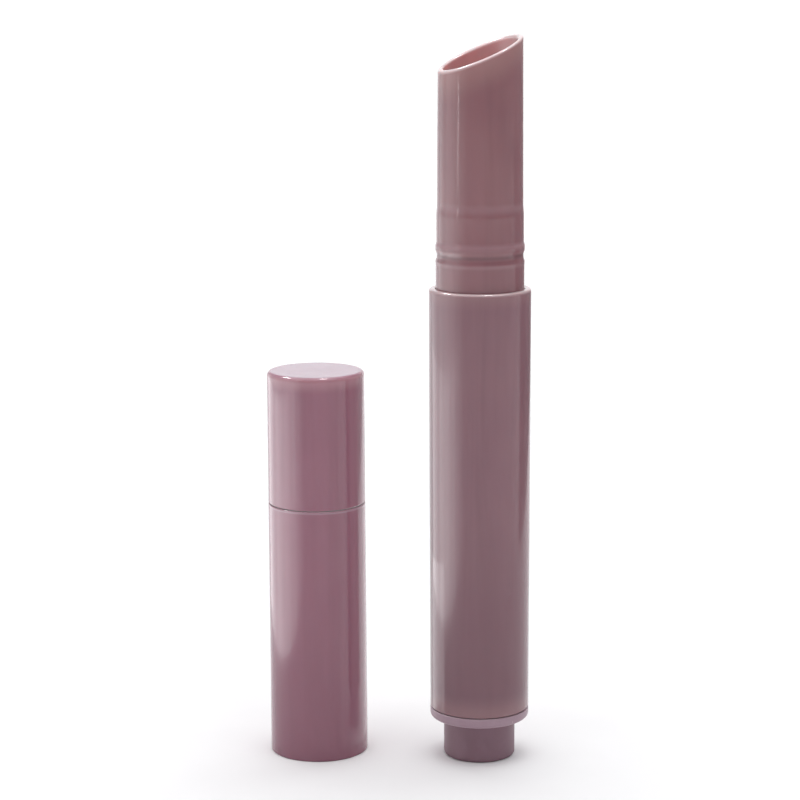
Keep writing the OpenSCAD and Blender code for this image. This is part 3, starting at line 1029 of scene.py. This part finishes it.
@dataclass
class Nozzle:
    """The product tube with its snap bead, its step and its slanted, rounded mouth."""

    mouth_tilt: float = math.radians(23.0)
    mouth_turn: float = math.radians(20.0)
    wall: float = 0.8 * MM
    taper: float = 0.12 * MM
    step_drop: float = 0.1 * MM
    neck_drop: float = 0.09 * MM
    rim_round: float = 0.36 * MM
    bead_middle: float = 5.8 * MM
    bead_length: float = 1.8 * MM
    bead_rise: float = 0.14 * MM
    bead_flat: float = 0.3 * MM
    groove_length: float = 0.45 * MM
    groove_floor: float = 0.15 * MM
    groove_depth: float = 0.13 * MM
    ridge: float = 1.3 * MM
    ridge_rise: float = 0.03 * MM
    step_start: float = 10.2 * MM
    step_length: float = 1.7 * MM
    slant_reach: float = 16.0 * MM
    slant_ease: float = 1.5 * MM
    foot_ease: float = 0.05 * MM
    rim_clear: float = 0.8 * MM
    rim_reach: float = 3.0 * MM
    rim_share: float = 0.2
    rings: int = 12
    segments: int = 192

    def mouth_height(self) -> float:
        """Height of the mouth's centre, from the high side of the CAD nozzle."""
        return span_of("nozzle")[1].z - self._tip_radius() * math.tan(self.mouth_tilt)

    def _tip_radius(self) -> float:
        """Outside radius at the mouth."""
        foot = radius_of("mechanism_case")
        return foot - self.neck_drop - self.step_drop - self.taper

    def _lift(self, x: float, y: float, z: float) -> float:
        """Slants the rings near the mouth.

        Args:
            x: Place across the axis.
            y: Place across the axis.
            z: Height before the slant.

        Returns:
            The height to add.
        """
        reach = self.slant_reach - self.slant_ease
        share = min(max((z - self.mouth_height() + self.slant_reach) / reach, 0.0), 1.0)
        along = x * math.cos(self.mouth_turn) + y * math.sin(self.mouth_turn)
        return along * math.tan(self.mouth_tilt) * share * share * (3.0 - 2.0 * share)

    def build(self, finish: bpy.types.Material, inner: bpy.types.Material) -> None:
        """Builds the nozzle.

        Args:
            finish: Its material.
            inner: Material of the chamber's wall, a lighter copy of the plastic with painted glow for the light that
                reaches through it.
        """
        low, high = span_of("nozzle")
        collar = span_of("outer_sleeve")[1].z
        foot = radius_of("mechanism_case")
        neck = foot - self.neck_drop
        step = neck - self.step_drop
        tip = self._tip_radius()
        chamber = tip - self.wall
        mouth = self.mouth_height()
        bead_low = collar + self.bead_middle - self.bead_length / 2
        groove_low = bead_low - self.groove_length
        step_low = collar + self.step_start
        groove = foot - self.groove_depth
        bead = neck + self.bead_rise
        middle = bead_low + self.bead_length / 2
        ledge, crest = groove_low - self.ridge, groove_low - self.ridge / 2
        outline = [(chamber, low.z), (foot - self.foot_ease, low.z), (foot, low.z + self.foot_ease), (foot, ledge)]
        for start, end in (((foot, ledge), (foot + self.ridge_rise, crest)),
                           ((foot + self.ridge_rise, crest), (groove, groove_low)),
                           ((groove, bead_low - self.groove_floor), (bead, middle - self.bead_flat / 2)),
                           ((bead, middle + self.bead_flat / 2), (neck, bead_low + self.bead_length)),
                           ((neck, step_low), (step, step_low + self.step_length))):
            if start != outline[-1]:
                outline.append(start)
            outline += eased(start, end)
        bottom, top = step_low + self.step_length, mouth - self.rim_clear
        shares = [k / self.rings for k in range(1, self.rings + 1)]
        walls = [(step + (tip - step) * share, bottom + (top - bottom) * share) for share in shares]
        rim = rounded([Corner(tip, mouth - self.rim_reach), Corner(tip, mouth, self.rim_round),
                       Corner(chamber, mouth, self.rim_round), Corner(chamber, mouth - self.rim_reach)])
        inside = [(chamber, top - (top - bottom) * share) for share in shares]
        shell = Lathe(segments=self.segments, lift=self._lift).turn(
            "nozzle_shell", outline + walls + rim[1:-1] + inside)
        dress(shell, finish)
        # Painted glow: the chamber's faces take the lighter chamber material, for light that comes through the wall.
        shade_faces(shell, inner, (0.0, 0.0), chamber + self.rim_share * self.rim_round, low.z, high.z)
        fit(shell, Body.TUBE, Slot.NOZZLE, "nozzle")


@dataclass
class Cap:
    """The cap's two halves, whose parting seam shows as a fine dark line of painted shade. It stays out of the
    tube's reflections.
    """

    draft: float = 0.1 * MM
    seam_gap: float = 0.12 * MM
    seam_round: float = 0.16 * MM
    top_round: float = 0.62 * MM
    rim_round: float = 0.2 * MM
    top: float = 1.5 * MM
    head_wall: float = 0.9 * MM
    neck: float = 6.0 * MM
    neck_wall: float = 0.9 * MM
    floor: float = 1.3 * MM
    floor_up: float = 0.5 * MM
    snap_height: float = 4.35 * MM
    snap_half: float = 0.55 * MM
    snap_reach: float = 0.15 * MM
    snap_round: float = 0.3 * MM
    snap_blend: float = 0.2 * MM
    join_gap: float = 0.03 * MM

    def _axis(self) -> Point:
        """Place of the cap's axis."""
        low, high = span_of("cap_sleeve")
        return ((low.x + high.x) / 2.0, (low.y + high.y) / 2.0)

    def _seam_radius(self) -> float:
        """Outside radius at the seam."""
        outer = radius_of("cap_sleeve")
        seam = span_of("cap_head")[0].z - self.seam_gap
        return outer - self.draft * seam / span_of("cap_head")[1].z

    def lower(self, finish: bpy.types.Material, shade: bpy.types.Material) -> None:
        """Builds the lower half: bore, snap ring, floor and neck.

        Args:
            finish: Its material.
            shade: Dark material painted as shade inside the seam.
        """
        outer = radius_of("cap_sleeve")
        seam = span_of("cap_head")[0].z - self.seam_gap
        bore = radius_of("cap_liner") + self.join_gap
        neck = outer - self.draft - self.head_wall - self.join_gap
        inner = neck - self.neck_wall
        floor_high = span_of("cap_sleeve")[1].z - self.neck + self.floor_up
        floor_low = floor_high - self.floor
        snap = bore - self.snap_reach
        shell = Lathe(self._axis()).turn("cap_lower_shell", rounded([
            Corner(bore, 0.0, self.rim_round), Corner(outer, 0.0, self.rim_round),
            Corner(self._seam_radius(), seam, self.seam_round), Corner(neck, seam),
            Corner(neck, seam + self.neck, self.rim_round), Corner(inner, seam + self.neck, self.rim_round),
            Corner(inner, floor_high), Corner(0.0, floor_high), Corner(0.0, floor_low), Corner(bore, floor_low),
            Corner(bore, self.snap_height + self.snap_half, self.snap_blend),
            Corner(snap, self.snap_height, self.snap_round),
            Corner(bore, self.snap_height - self.snap_half, self.snap_blend)]))
        dress(shell, finish)
        # Painted shade: the faces inside the seam take the dark seam material.
        shade_faces(shell, shade, self._axis(), self._seam_radius() - self.seam_round / 2.0, seam - self.seam_round,
                    span_of("cap_head")[1].z)
        shell.visible_glossy = False
        fit(shell, Body.CAP, Slot.CAP, "cap_sleeve")

    def upper(self, finish: bpy.types.Material, shade: bpy.types.Material) -> None:
        """Builds the upper half with its flat, softly rounded top.

        Args:
            finish: Its material.
            shade: Dark material painted as shade inside the seam.
        """
        low, high = span_of("cap_head")
        top_radius = radius_of("cap_sleeve") - self.draft
        bore = top_radius - self.head_wall
        shell = Lathe(self._axis()).turn("cap_upper_shell", rounded([
            Corner(bore, low.z), Corner(self._seam_radius(), low.z, self.seam_round),
            Corner(top_radius, high.z, self.top_round), Corner(0.0, high.z), Corner(0.0, high.z - self.top),
            Corner(bore, high.z - self.top)]))
        dress(shell, finish)
        # Painted shade: the faces at the seam's lip take the dark seam material.
        shade_faces(shell, shade, self._axis(), self._seam_radius() - self.seam_round / 2.0, low.z,
                    low.z + self.seam_round)
        shell.visible_glossy = False
        fit(shell, Body.CAP, Slot.CAP, "cap_head")


@dataclass
class ReturnSpring:
    """The button's compression spring, a helix with a closed turn at each end."""

    turns: int = 6
    wire: float = 0.47 * MM
    closed_rise: float = 0.53 * MM
    steps_per_turn: int = 36
    section: int = 12

    def build(self, finish: bpy.types.Material) -> None:
        """Sweeps the wire along the helix.

        Args:
            finish: Its material.
        """
        low, high = span_of("return_spring")
        middle = (high.x - low.x) / 2.0 - self.wire / 2.0
        travel = high.z - low.z - self.wire
        sheet = GeometrySheet("return spring")
        turns = sheet.size("Turns", float(self.turns))
        closed = sheet.size("Rise of a closed turn", self.closed_rise)
        rise = sheet.size("Rise of the whole helix", travel)
        foot = sheet.size("Foot height", low.z + self.wire / 2.0)
        radius = sheet.size("Coil radius", middle)
        wire = sheet.size("Wire radius", self.wire / 2.0)
        line = sheet.add("GeometryNodeMeshLine", mode="OFFSET")
        sheet.feed(line.inputs["Count"], sheet.size("Points", self.turns * self.steps_per_turn + 1, "NodeSocketInt"))
        line.inputs["Offset"].default_value = (0.0, 0.0, 1.0)
        share = sheet.math("DIVIDE", sheet.add("GeometryNodeInputIndex").outputs[0], float(self.steps_per_turn))
        angle = sheet.math("MULTIPLY", share, 2.0 * math.pi)
        last = sheet.math("SUBTRACT", turns, 1.0)
        middle_rise = sheet.math("SUBTRACT", rise, sheet.math("MULTIPLY", closed, 2.0))
        height = sheet.math("ADD", foot, sheet.stretch(share, 0.0, 1.0, closed))
        height = sheet.math("ADD", height, sheet.stretch(share, 1.0, last, middle_rise))
        height = sheet.math("ADD", height, sheet.stretch(share, last, turns, closed))
        points = sheet.place(line.outputs[0],
                             sheet.math("MULTIPLY", radius, sheet.math("COSINE", angle)),
                             sheet.math("MULTIPLY", radius, sheet.math("SINE", angle)), height)
        path = sheet.add("GeometryNodeMeshToCurve")
        sheet.feed(path.inputs[0], points)
        ring = sheet.add("GeometryNodeCurvePrimitiveCircle")
        ring.inputs["Resolution"].default_value = self.section
        sheet.feed(ring.inputs["Radius"], wire)
        sweep = sheet.add("GeometryNodeCurveToMesh")
        sheet.feed(sweep.inputs["Curve"], path.outputs[0])
        sheet.feed(sweep.inputs["Profile Curve"], ring.outputs[0])
        sweep.inputs["Fill Caps"].default_value = True
        spring = sheet.bake("return_spring_wire", sweep.outputs[0], finish)
        fit(spring, Body.TUBE, Slot.STEEL, "return_spring")
        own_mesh(spring)


@dataclass
class LeadScrew:
    """The feed screw: a rod whose surface rises in two threads, with two flats and a round head."""

    lead: float = 4.0 * MM
    starts: int = 2
    crest: float = 1.9 * MM
    depth: float = 0.5 * MM
    flat: float = 2.7 * MM
    head_radius: float = 2.7 * MM
    head: float = 1.2 * MM
    sides: int = 56
    rings_per_lead: int = 30

    def build(self, finish: bpy.types.Material) -> None:
        """Builds the screw.

        Args:
            finish: Its material.
        """
        low, high = span_of("lead_screw")
        shank_top = high.z - self.head
        length = shank_top - low.z
        sheet = GeometrySheet("lead screw")
        lead = sheet.size("Lead", self.lead)
        starts = sheet.size("Threads", float(self.starts))
        middle = sheet.size("Mean radius", self.crest - self.depth / 2.0)
        swing = sheet.size("Half thread depth", self.depth / 2.0)
        flat = sheet.size("Half width over the flats", self.flat / 2.0)
        bottom = sheet.size("Foot height", low.z)
        rod = sheet.add("GeometryNodeMeshCylinder", fill_type="NGON")
        rod.inputs["Vertices"].default_value = self.sides
        rod.inputs["Side Segments"].default_value = math.ceil(self.rings_per_lead * length / self.lead)
        rod.inputs["Fill Segments"].default_value = 1
        sheet.feed(rod.inputs["Radius"], middle)
        rod.inputs["Depth"].default_value = length
        x, y, z = sheet.position()
        angle = sheet.math("ARCTAN2", y, x)
        height = sheet.math("ADD", sheet.math("ADD", z, length / 2.0), bottom)
        phase = sheet.math("DIVIDE", sheet.math("MULTIPLY", height, 2.0 * math.pi), lead)
        wave = sheet.math("COSINE", sheet.math("MULTIPLY", starts, sheet.math("SUBTRACT", angle, phase)))
        reach = sheet.math("ADD", middle, sheet.math("MULTIPLY", swing, wave))
        across = sheet.math("MULTIPLY", reach, sheet.math("SINE", angle))
        across = sheet.math("MAXIMUM", sheet.math("MINIMUM", across, flat), sheet.math("MULTIPLY", flat, -1.0))
        shank = sheet.place(rod.outputs["Mesh"], sheet.math("MULTIPLY", reach, sheet.math("COSINE", angle)),
                            across, height)
        disc = sheet.add("GeometryNodeMeshCylinder", fill_type="NGON")
        disc.inputs["Vertices"].default_value = self.sides
        sheet.feed(disc.inputs["Radius"], sheet.size("Head radius", self.head_radius))
        sheet.feed(disc.inputs["Depth"], sheet.size("Head height", self.head))
        seat = sheet.add("GeometryNodeTransform")
        sheet.feed(seat.inputs["Geometry"], disc.outputs["Mesh"])
        seat.inputs["Translation"].default_value = (0.0, 0.0, high.z - self.head / 2.0)
        join = sheet.add("GeometryNodeJoinGeometry")
        sheet.feed(join.inputs[0], shank)
        sheet.feed(join.inputs[0], seat.outputs[0])
        screw = sheet.bake("lead_screw_thread", join.outputs[0], finish)
        fit(screw, Body.SCREW, Slot.MECHANISM, "lead_screw")


@dataclass
class Mechanism:
    """The hidden pieces whose CAD shape is right as it is, each given its finish."""

    plastics: tuple[str, ...] = ("mechanism_case", "lead_nut", "fixed_crown", "drive_cam",
                                 "ratchet_rotor", "drive_tube", "piston_core")
    rubbers: tuple[str, ...] = ("nozzle_o_ring", "drag_ring")
    foams: tuple[str, ...] = ("piston_seal", "cap_liner")
    steels: tuple[str, ...] = ("spring_seat",)

    def build(self, plastic: bpy.types.Material, rubber: bpy.types.Material,
              foam: bpy.types.Material, steel: bpy.types.Material) -> None:
        """Dresses the CAD nodes.

        Args:
            plastic: Material of the moulded pieces.
            rubber: Material of the rubber rings.
            foam: Material of the soft seal and the liner.
            steel: Material of the washer.
        """
        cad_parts["cap_liner"].visible_glossy = False
        for names, material in ((self.plastics, plastic), (self.rubbers, rubber),
                                (self.foams, foam), (self.steels, steel)):
            for name in names:
                dress(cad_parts[name], material)
                LOG.info("%s is dressed as %s", name, material.name)


# ---------------------------------------------------------------- studio


@dataclass(frozen=True)
class SoftPanel:
    """A rectangular soft light.

    Args:
        name: The light's name.
        place: Its centre.
        aim: The point it faces.
        width: Its width.
        height: Its height.
        power: Its power in watts.
        tint: Its colour.
        reflected_only: Whether it shows in reflections and gives no diffuse light.
    """

    name: str
    place: tuple[float, float, float]
    aim: tuple[float, float, float]
    width: float
    height: float
    power: float
    tint: Colour = (1.0, 1.0, 1.0)
    reflected_only: bool = False

    def build(self) -> None:
        """Adds the light to the scene."""
        light = bpy.data.lights.new(self.name, "AREA")
        light.shape = "RECTANGLE"
        light.size = self.width
        light.size_y = self.height
        light.energy = self.power
        light.color = self.tint
        light.use_shadow = not self.reflected_only
        obj = bpy.data.objects.new(self.name, light)
        bpy.context.scene.collection.objects.link(obj)
        obj.visible_diffuse = not self.reflected_only
        obj.visible_camera = False
        direction = Vector(self.aim) - Vector(self.place)
        obj.matrix_world = Matrix.Translation(self.place) @ direction.to_track_quat("-Z", "Y").to_matrix().to_4x4()


def left_wall(x: float = -0.078, parting: float = 0.044, top: float = 0.17) -> list[SoftPanel]:
    """Upright panels on the left, brightest in the middle, which fade towards the front and the top.

    Args:
        x: Place of the wall.
        parting: Height that parts the lower panels from the upper ones.
        top: Height of the wall.

    Returns:
        The panels.
    """
    columns = ((-0.098, -0.074, 0.45), (-0.074, -0.052, 1.1), (-0.052, -0.028, 2.0),
               (-0.028, 0.014, 2.7), (0.014, 0.07, 1.6))
    panels = []
    for low, high, share in ((0.0, parting, 1.0), (parting, top, 0.5)):
        for front, back, radiance in columns:
            width, height = back - front, high - low
            middle = ((front + back) / 2.0, (low + high) / 2.0)
            panels.append(SoftPanel(f"wall_{len(panels)}", (x, *middle), (0.0, *middle), width, height,
                                    math.pi * width * height * radiance * share, (1.0, 0.98, 0.99), True))
    return panels


@dataclass
class Studio:
    """The pale floor, the soft lights and the camera."""

    camera_place: tuple[float, float, float] = (-2.58 * MM, -334.3 * MM, 115.58 * MM)
    pitch: float = math.radians(10.74)
    yaw: float = math.radians(-1.497)
    roll: float = math.radians(-0.26)
    lens: float = 108.0
    sensor: float = 36.0
    floor_half: float = 1.6
    sweep_start: float = 0.9
    sweep_radius: float = 0.5
    sweep_top: float = 1.8
    sweep_steps: int = 24
    floor_colour: Colour = (0.89, 0.89, 0.895)
    floor_shade: Colour = (0.88, 0.88, 0.885)
    flag_x: float = 0.13
    flag_reach: Point = (0.02, 0.3)
    flag_top: float = 0.3
    flag_colour: Colour = (0.3, 0.29, 0.29)
    flag_shade: Colour = (0.27, 0.26, 0.26)
    sky_strength: float = 0.24
    panels: tuple[SoftPanel, ...] = (
        SoftPanel("top_panel", (0.0, 0.1, 1.1), (0.0, 0.1, 0.0), 1.6, 1.6, 18.5),
        SoftPanel("back_panel", (0.0, 0.5, 0.9), (0.0, 1.4, 0.5), 1.8, 0.5, 6.5),
        *left_wall(),
        SoftPanel("thin_strip", (-0.0574, -0.0345, 0.0857), (0.0, 0.0, 0.0892), 0.0013, 0.017, 0.0006,
                  (1.0, 0.97, 0.96), True),
        SoftPanel("cap_side_dim", (-0.0125, -0.006, 0.034), (-0.03, -0.006, 0.034), 0.006, 0.068, 0.0003,
                  (1.0, 0.97, 0.98), True),
        SoftPanel("cap_side", (-0.0125, 0.0045, 0.034), (-0.03, 0.0045, 0.034), 0.015, 0.068, 0.0014,
                  (1.0, 0.97, 0.98), True),
        SoftPanel("edge_glint_right", (0.102, 0.021, 0.794), (-0.024, 0.0, 0.056), 0.21, 0.12, 2.2,
                  (1.0, 0.99, 0.99), True),
        SoftPanel("edge_glint_left", (-0.3885, 0.29, 0.643), (-0.024, 0.0, 0.056), 0.21, 0.12, 2.2,
                  (1.0, 0.99, 0.99), True),
        SoftPanel("low_glint", (-0.0145, 0.001, 0.0145), (0.0, 0.001, 0.0145), 0.012, 0.025, 0.001,
                  (1.0, 0.98, 0.99), True),
    )

    def build(self) -> None:
        """Sets up the floor, the lights, the world and the camera."""
        bpy.context.scene.view_settings.view_transform = "Standard"
        self._floor()
        self._flag()
        self._world()
        for panel in self.panels:
            panel.build()
        self._camera()
        LOG.info("studio has %d panels", len(self.panels))

    def _floor(self) -> None:
        """Adds the pale floor and its swept-up back, which stay out of the object."""
        profile = [(-self.floor_half, 0.0), (self.sweep_start, 0.0)]
        for k in range(1, self.sweep_steps + 1):
            angle = 0.5 * math.pi * k / self.sweep_steps
            profile.append((self.sweep_start + self.sweep_radius * math.sin(angle),
                            self.sweep_radius * (1.0 - math.cos(angle))))
        profile.append((self.sweep_start + self.sweep_radius, self.sweep_top))
        corners = [(side * self.floor_half, y, z) for y, z in profile for side in (-1.0, 1.0)]
        faces = [(2 * k, 2 * k + 1, 2 * k + 3, 2 * k + 2) for k in range(len(profile) - 1)]
        mesh = bpy.data.meshes.new("floor")
        mesh.from_pydata(corners, [], faces)
        mesh.shade_smooth()
        floor = piece("floor", mesh)
        sheet = ShaderSheet("floor_paper")
        shader = sheet.add("ShaderNodeBsdfPrincipled")
        fibre = sheet.noise((60.0,) * 3, detail=4.0)
        sheet.link(sheet.mix(sheet.span(fibre, 0.4, 0.6), opaque(self.floor_colour), opaque(self.floor_shade)),
                   shader.inputs["Base Color"])
        shader.inputs["Roughness"].default_value = 0.9
        shader.inputs["Specular IOR Level"].default_value = 0.1
        sheet.link(shader.outputs[0], sheet.output.inputs["Surface"])
        dress(floor, sheet.material)

    def _flag(self) -> None:
        """Adds the grey card that keeps the right edges from shining."""
        x, (front, back), top = self.flag_x, self.flag_reach, self.flag_top
        mesh = bpy.data.meshes.new("grey_card")
        mesh.from_pydata([(x, front, 0.0), (x, back, 0.0), (x, back, top), (x, front, top)], [], [(0, 1, 2, 3)])
        card = piece("grey_card", mesh)
        sheet = ShaderSheet("grey_card_paper")
        shader = sheet.add("ShaderNodeBsdfPrincipled")
        fibre = sheet.noise((60.0,) * 3, detail=4.0)
        sheet.link(sheet.mix(sheet.span(fibre, 0.4, 0.6), opaque(self.flag_colour), opaque(self.flag_shade)),
                   shader.inputs["Base Color"])
        shader.inputs["Roughness"].default_value = 0.9
        sheet.link(shader.outputs[0], sheet.output.inputs["Surface"])
        dress(card, sheet.material)
        card.visible_camera = False
        card.visible_shadow = False
        card.visible_diffuse = False

    def _world(self) -> None:
        """Sets an even pale surround."""
        world = bpy.data.worlds.new("surround")
        world.use_nodes = True
        sky = world.node_tree.nodes["Background"]
        sky.inputs["Color"].default_value = (0.95, 0.96, 1.0, 1.0)
        sky.inputs["Strength"].default_value = self.sky_strength
        bpy.context.scene.world = world

    def _camera(self) -> None:
        """Places the camera and makes it the scene's own."""
        data = bpy.data.cameras.new("camera")
        data.lens = self.lens
        data.sensor_width = self.sensor
        data.clip_start = 0.01
        camera = bpy.data.objects.new("camera", data)
        bpy.context.scene.collection.objects.link(camera)
        forward = Vector((math.sin(self.yaw) * math.cos(self.pitch), math.cos(self.yaw) * math.cos(self.pitch),
                          -math.sin(self.pitch)))
        right = Vector((math.cos(self.yaw), -math.sin(self.yaw), 0.0))
        up = right.cross(forward)
        turned_right = right * math.cos(self.roll) + up * math.sin(self.roll)
        turned_up = up * math.cos(self.roll) - right * math.sin(self.roll)
        axes = Matrix((turned_right, turned_up, -forward)).transposed()
        camera.matrix_world = Matrix.Translation(self.camera_place) @ axes.to_4x4()
        bpy.context.scene.camera = camera


@dataclass(frozen=True)
class Finishes:
    """Every finish of the tube, ready to build, some with painted light and shade."""

    sleeve: GlossPlastic
    nozzle: GlossPlastic
    chamber: GlossPlastic
    cap: GlossPlastic
    button: SatinPlastic
    ring: SatinPlastic
    mechanism: SatinPlastic
    steel: SpringSteel
    rubber: SealRubber
    seam: SealRubber
    foam: SealRubber


def choose_finishes(nozzle: Nozzle) -> Finishes:
    """Chooses the colours and places the painted bands of light and shade.

    Args:
        nozzle: The nozzle, for its mouth's slope and height.

    Returns:
        The finishes.
    """
    collar = span_of("outer_sleeve")[1].z
    cap_top = span_of("cap_head")[1].z
    mouth, tilt, turn = nozzle.mouth_height(), nozzle.mouth_tilt, nozzle.mouth_turn
    # Painted highlight colour for the rims of the collar and the mouth.
    pale = (0.8, 0.66, 0.67)
    bead, step = collar + nozzle.bead_middle, collar + nozzle.step_start
    # Painted highlights and painted shade on the bead, groove, ledge and step, for the light on their relief.
    light, shade = (0.44, 0.27, 0.3), (0.19, 0.08, 0.095)
    painted_relief_bands = ((bead + 0.5 * MM, 0.8 * MM, 0.7 * MM, 0.55, light), (bead - 0.95 * MM, 0.5 * MM, 0.5 * MM, 0.75, shade),
             (bead - 2.2 * MM, 0.5 * MM, 0.5 * MM, 0.3, light), (step + 1.3 * MM, MM, MM, 0.38, light))
    relief = [PaintedBand(top, depth, strength=strength, colour=colour, above=above)
              for top, depth, above, strength, colour in painted_relief_bands]
    sleeve_foot, cap_foot = span_of("outer_sleeve")[0].z, span_of("cap_sleeve")[0].z
    seam = span_of("cap_head")[0].z
    return Finishes(
        # Sleeve: painted glow under the collar, a painted highlight on its rim, painted shade darker towards the
        # foot and a painted glow just above the foot.
        sleeve=GlossPlastic("sleeve_gloss", (0.265, 0.125, 0.156), (0.23, 0.105, 0.132), (0.36, 0.195, 0.205),
                            painted_bands=(PaintedBand(collar, 2.6 * MM, strength=0.5),
                                  PaintedBand(collar, 0.5 * MM, strength=0.6, colour=pale),
                                  PaintedBand(sleeve_foot, MM, strength=0.7, colour=(0.175, 0.076, 0.1),
                                          above=36.0 * MM),
                                  PaintedBand(sleeve_foot, MM, strength=0.55, colour=(0.36, 0.2, 0.215),
                                          above=3.5 * MM)), seed=1.7),
        # Nozzle: painted glow under the slanted mouth, a painted highlight on its rim and the painted relief bands.
        nozzle=GlossPlastic("nozzle_gloss", (0.295, 0.132, 0.155), (0.25, 0.11, 0.128), (0.5, 0.28, 0.27),
                            painted_bands=(PaintedBand(mouth, 5.0 * MM, tilt, turn, 0.6),
                                  PaintedBand(mouth, 0.5 * MM, tilt, turn, 0.8, pale), *relief),
                            seed=3.1, scatter=0.35),
        # Chamber: a lighter copy of the nozzle plastic with painted glow for light through the wall, and a painted
        # highlight on the inner rim.
        chamber=GlossPlastic("chamber_painted_glow", (0.72, 0.41, 0.42), (0.66, 0.37, 0.38), (0.8, 0.52, 0.5),
                             painted_bands=(PaintedBand(mouth, 0.6 * MM, tilt, turn, 0.8, (0.9, 0.8, 0.8)),),
                             seed=3.7, scatter=0.5),
        # Cap: painted glow under the top edge, a painted sheen on the top face, a painted highlight under the seam
        # and painted shade darker towards the foot.
        cap=GlossPlastic("cap_gloss", (0.325, 0.128, 0.185), (0.285, 0.11, 0.158), (0.42, 0.2, 0.25),
                         painted_bands=(PaintedBand(cap_top - 0.4 * MM, 2.0 * MM, strength=0.6, colour=(0.56, 0.3, 0.34),
                                       above=0.3 * MM),
                               PaintedBand(cap_top, 0.04 * MM, strength=0.6, colour=(0.34, 0.25, 0.33)),
                               PaintedBand(seam - 0.35 * MM, 0.25 * MM, strength=0.45, colour=(0.52, 0.36, 0.43),
                                       above=0.3 * MM),
                               PaintedBand(cap_foot, MM, strength=0.5, colour=(0.24, 0.088, 0.13),
                                       above=34.0 * MM)), seed=4.4),
        button=SatinPlastic("button_satin", (0.24, 0.13, 0.166), (0.3, 0.175, 0.22), seed=2.2),
        ring=SatinPlastic("ring_satin", (0.38, 0.25, 0.305), (0.46, 0.33, 0.385), roughness=0.36, seed=6.1),
        mechanism=SatinPlastic("mechanism_satin", (0.78, 0.76, 0.70), (0.84, 0.83, 0.8), seed=7.5),
        steel=SpringSteel("spring_steel_wire", (0.62, 0.63, 0.65)),
        rubber=SealRubber("seal_rubber_black", (0.03, 0.03, 0.032), (0.09, 0.09, 0.1)),
        # Painted shade: a dark matt finish on the faces inside the cap's seam.
        seam=SealRubber("seam_shade", (0.1, 0.03, 0.045), (0.12, 0.04, 0.055)),
        foam=SealRubber("liner_foam_white", (0.78, 0.77, 0.74), (0.86, 0.85, 0.83), pores=5000.0))


def main() -> None:
    """Builds the tube, the cap and the studio."""
    logging.basicConfig(level=logging.INFO, format="%(name)s: %(message)s")
    nozzle = Nozzle()
    finishes = choose_finishes(nozzle)
    shell = TubeShell()
    shell.sleeve(finishes.sleeve.build())
    shell.end_ring(finishes.ring.build())
    shell.button(finishes.button.build())
    nozzle.build(finishes.nozzle.build(), finishes.chamber.build())
    cap = Cap()
    cap_finish, seam_painted_shade = finishes.cap.build(), finishes.seam.build()
    cap.lower(cap_finish, seam_painted_shade)
    cap.upper(cap_finish, seam_painted_shade)
    plastic = finishes.mechanism.build()
    steel = finishes.steel.build()
    ReturnSpring().build(steel)
    LeadScrew().build(plastic)
    Mechanism().build(plastic, finishes.rubber.build(), finishes.foam.build(), steel)
    Studio().build()


if __name__ == "__main__":
    main()
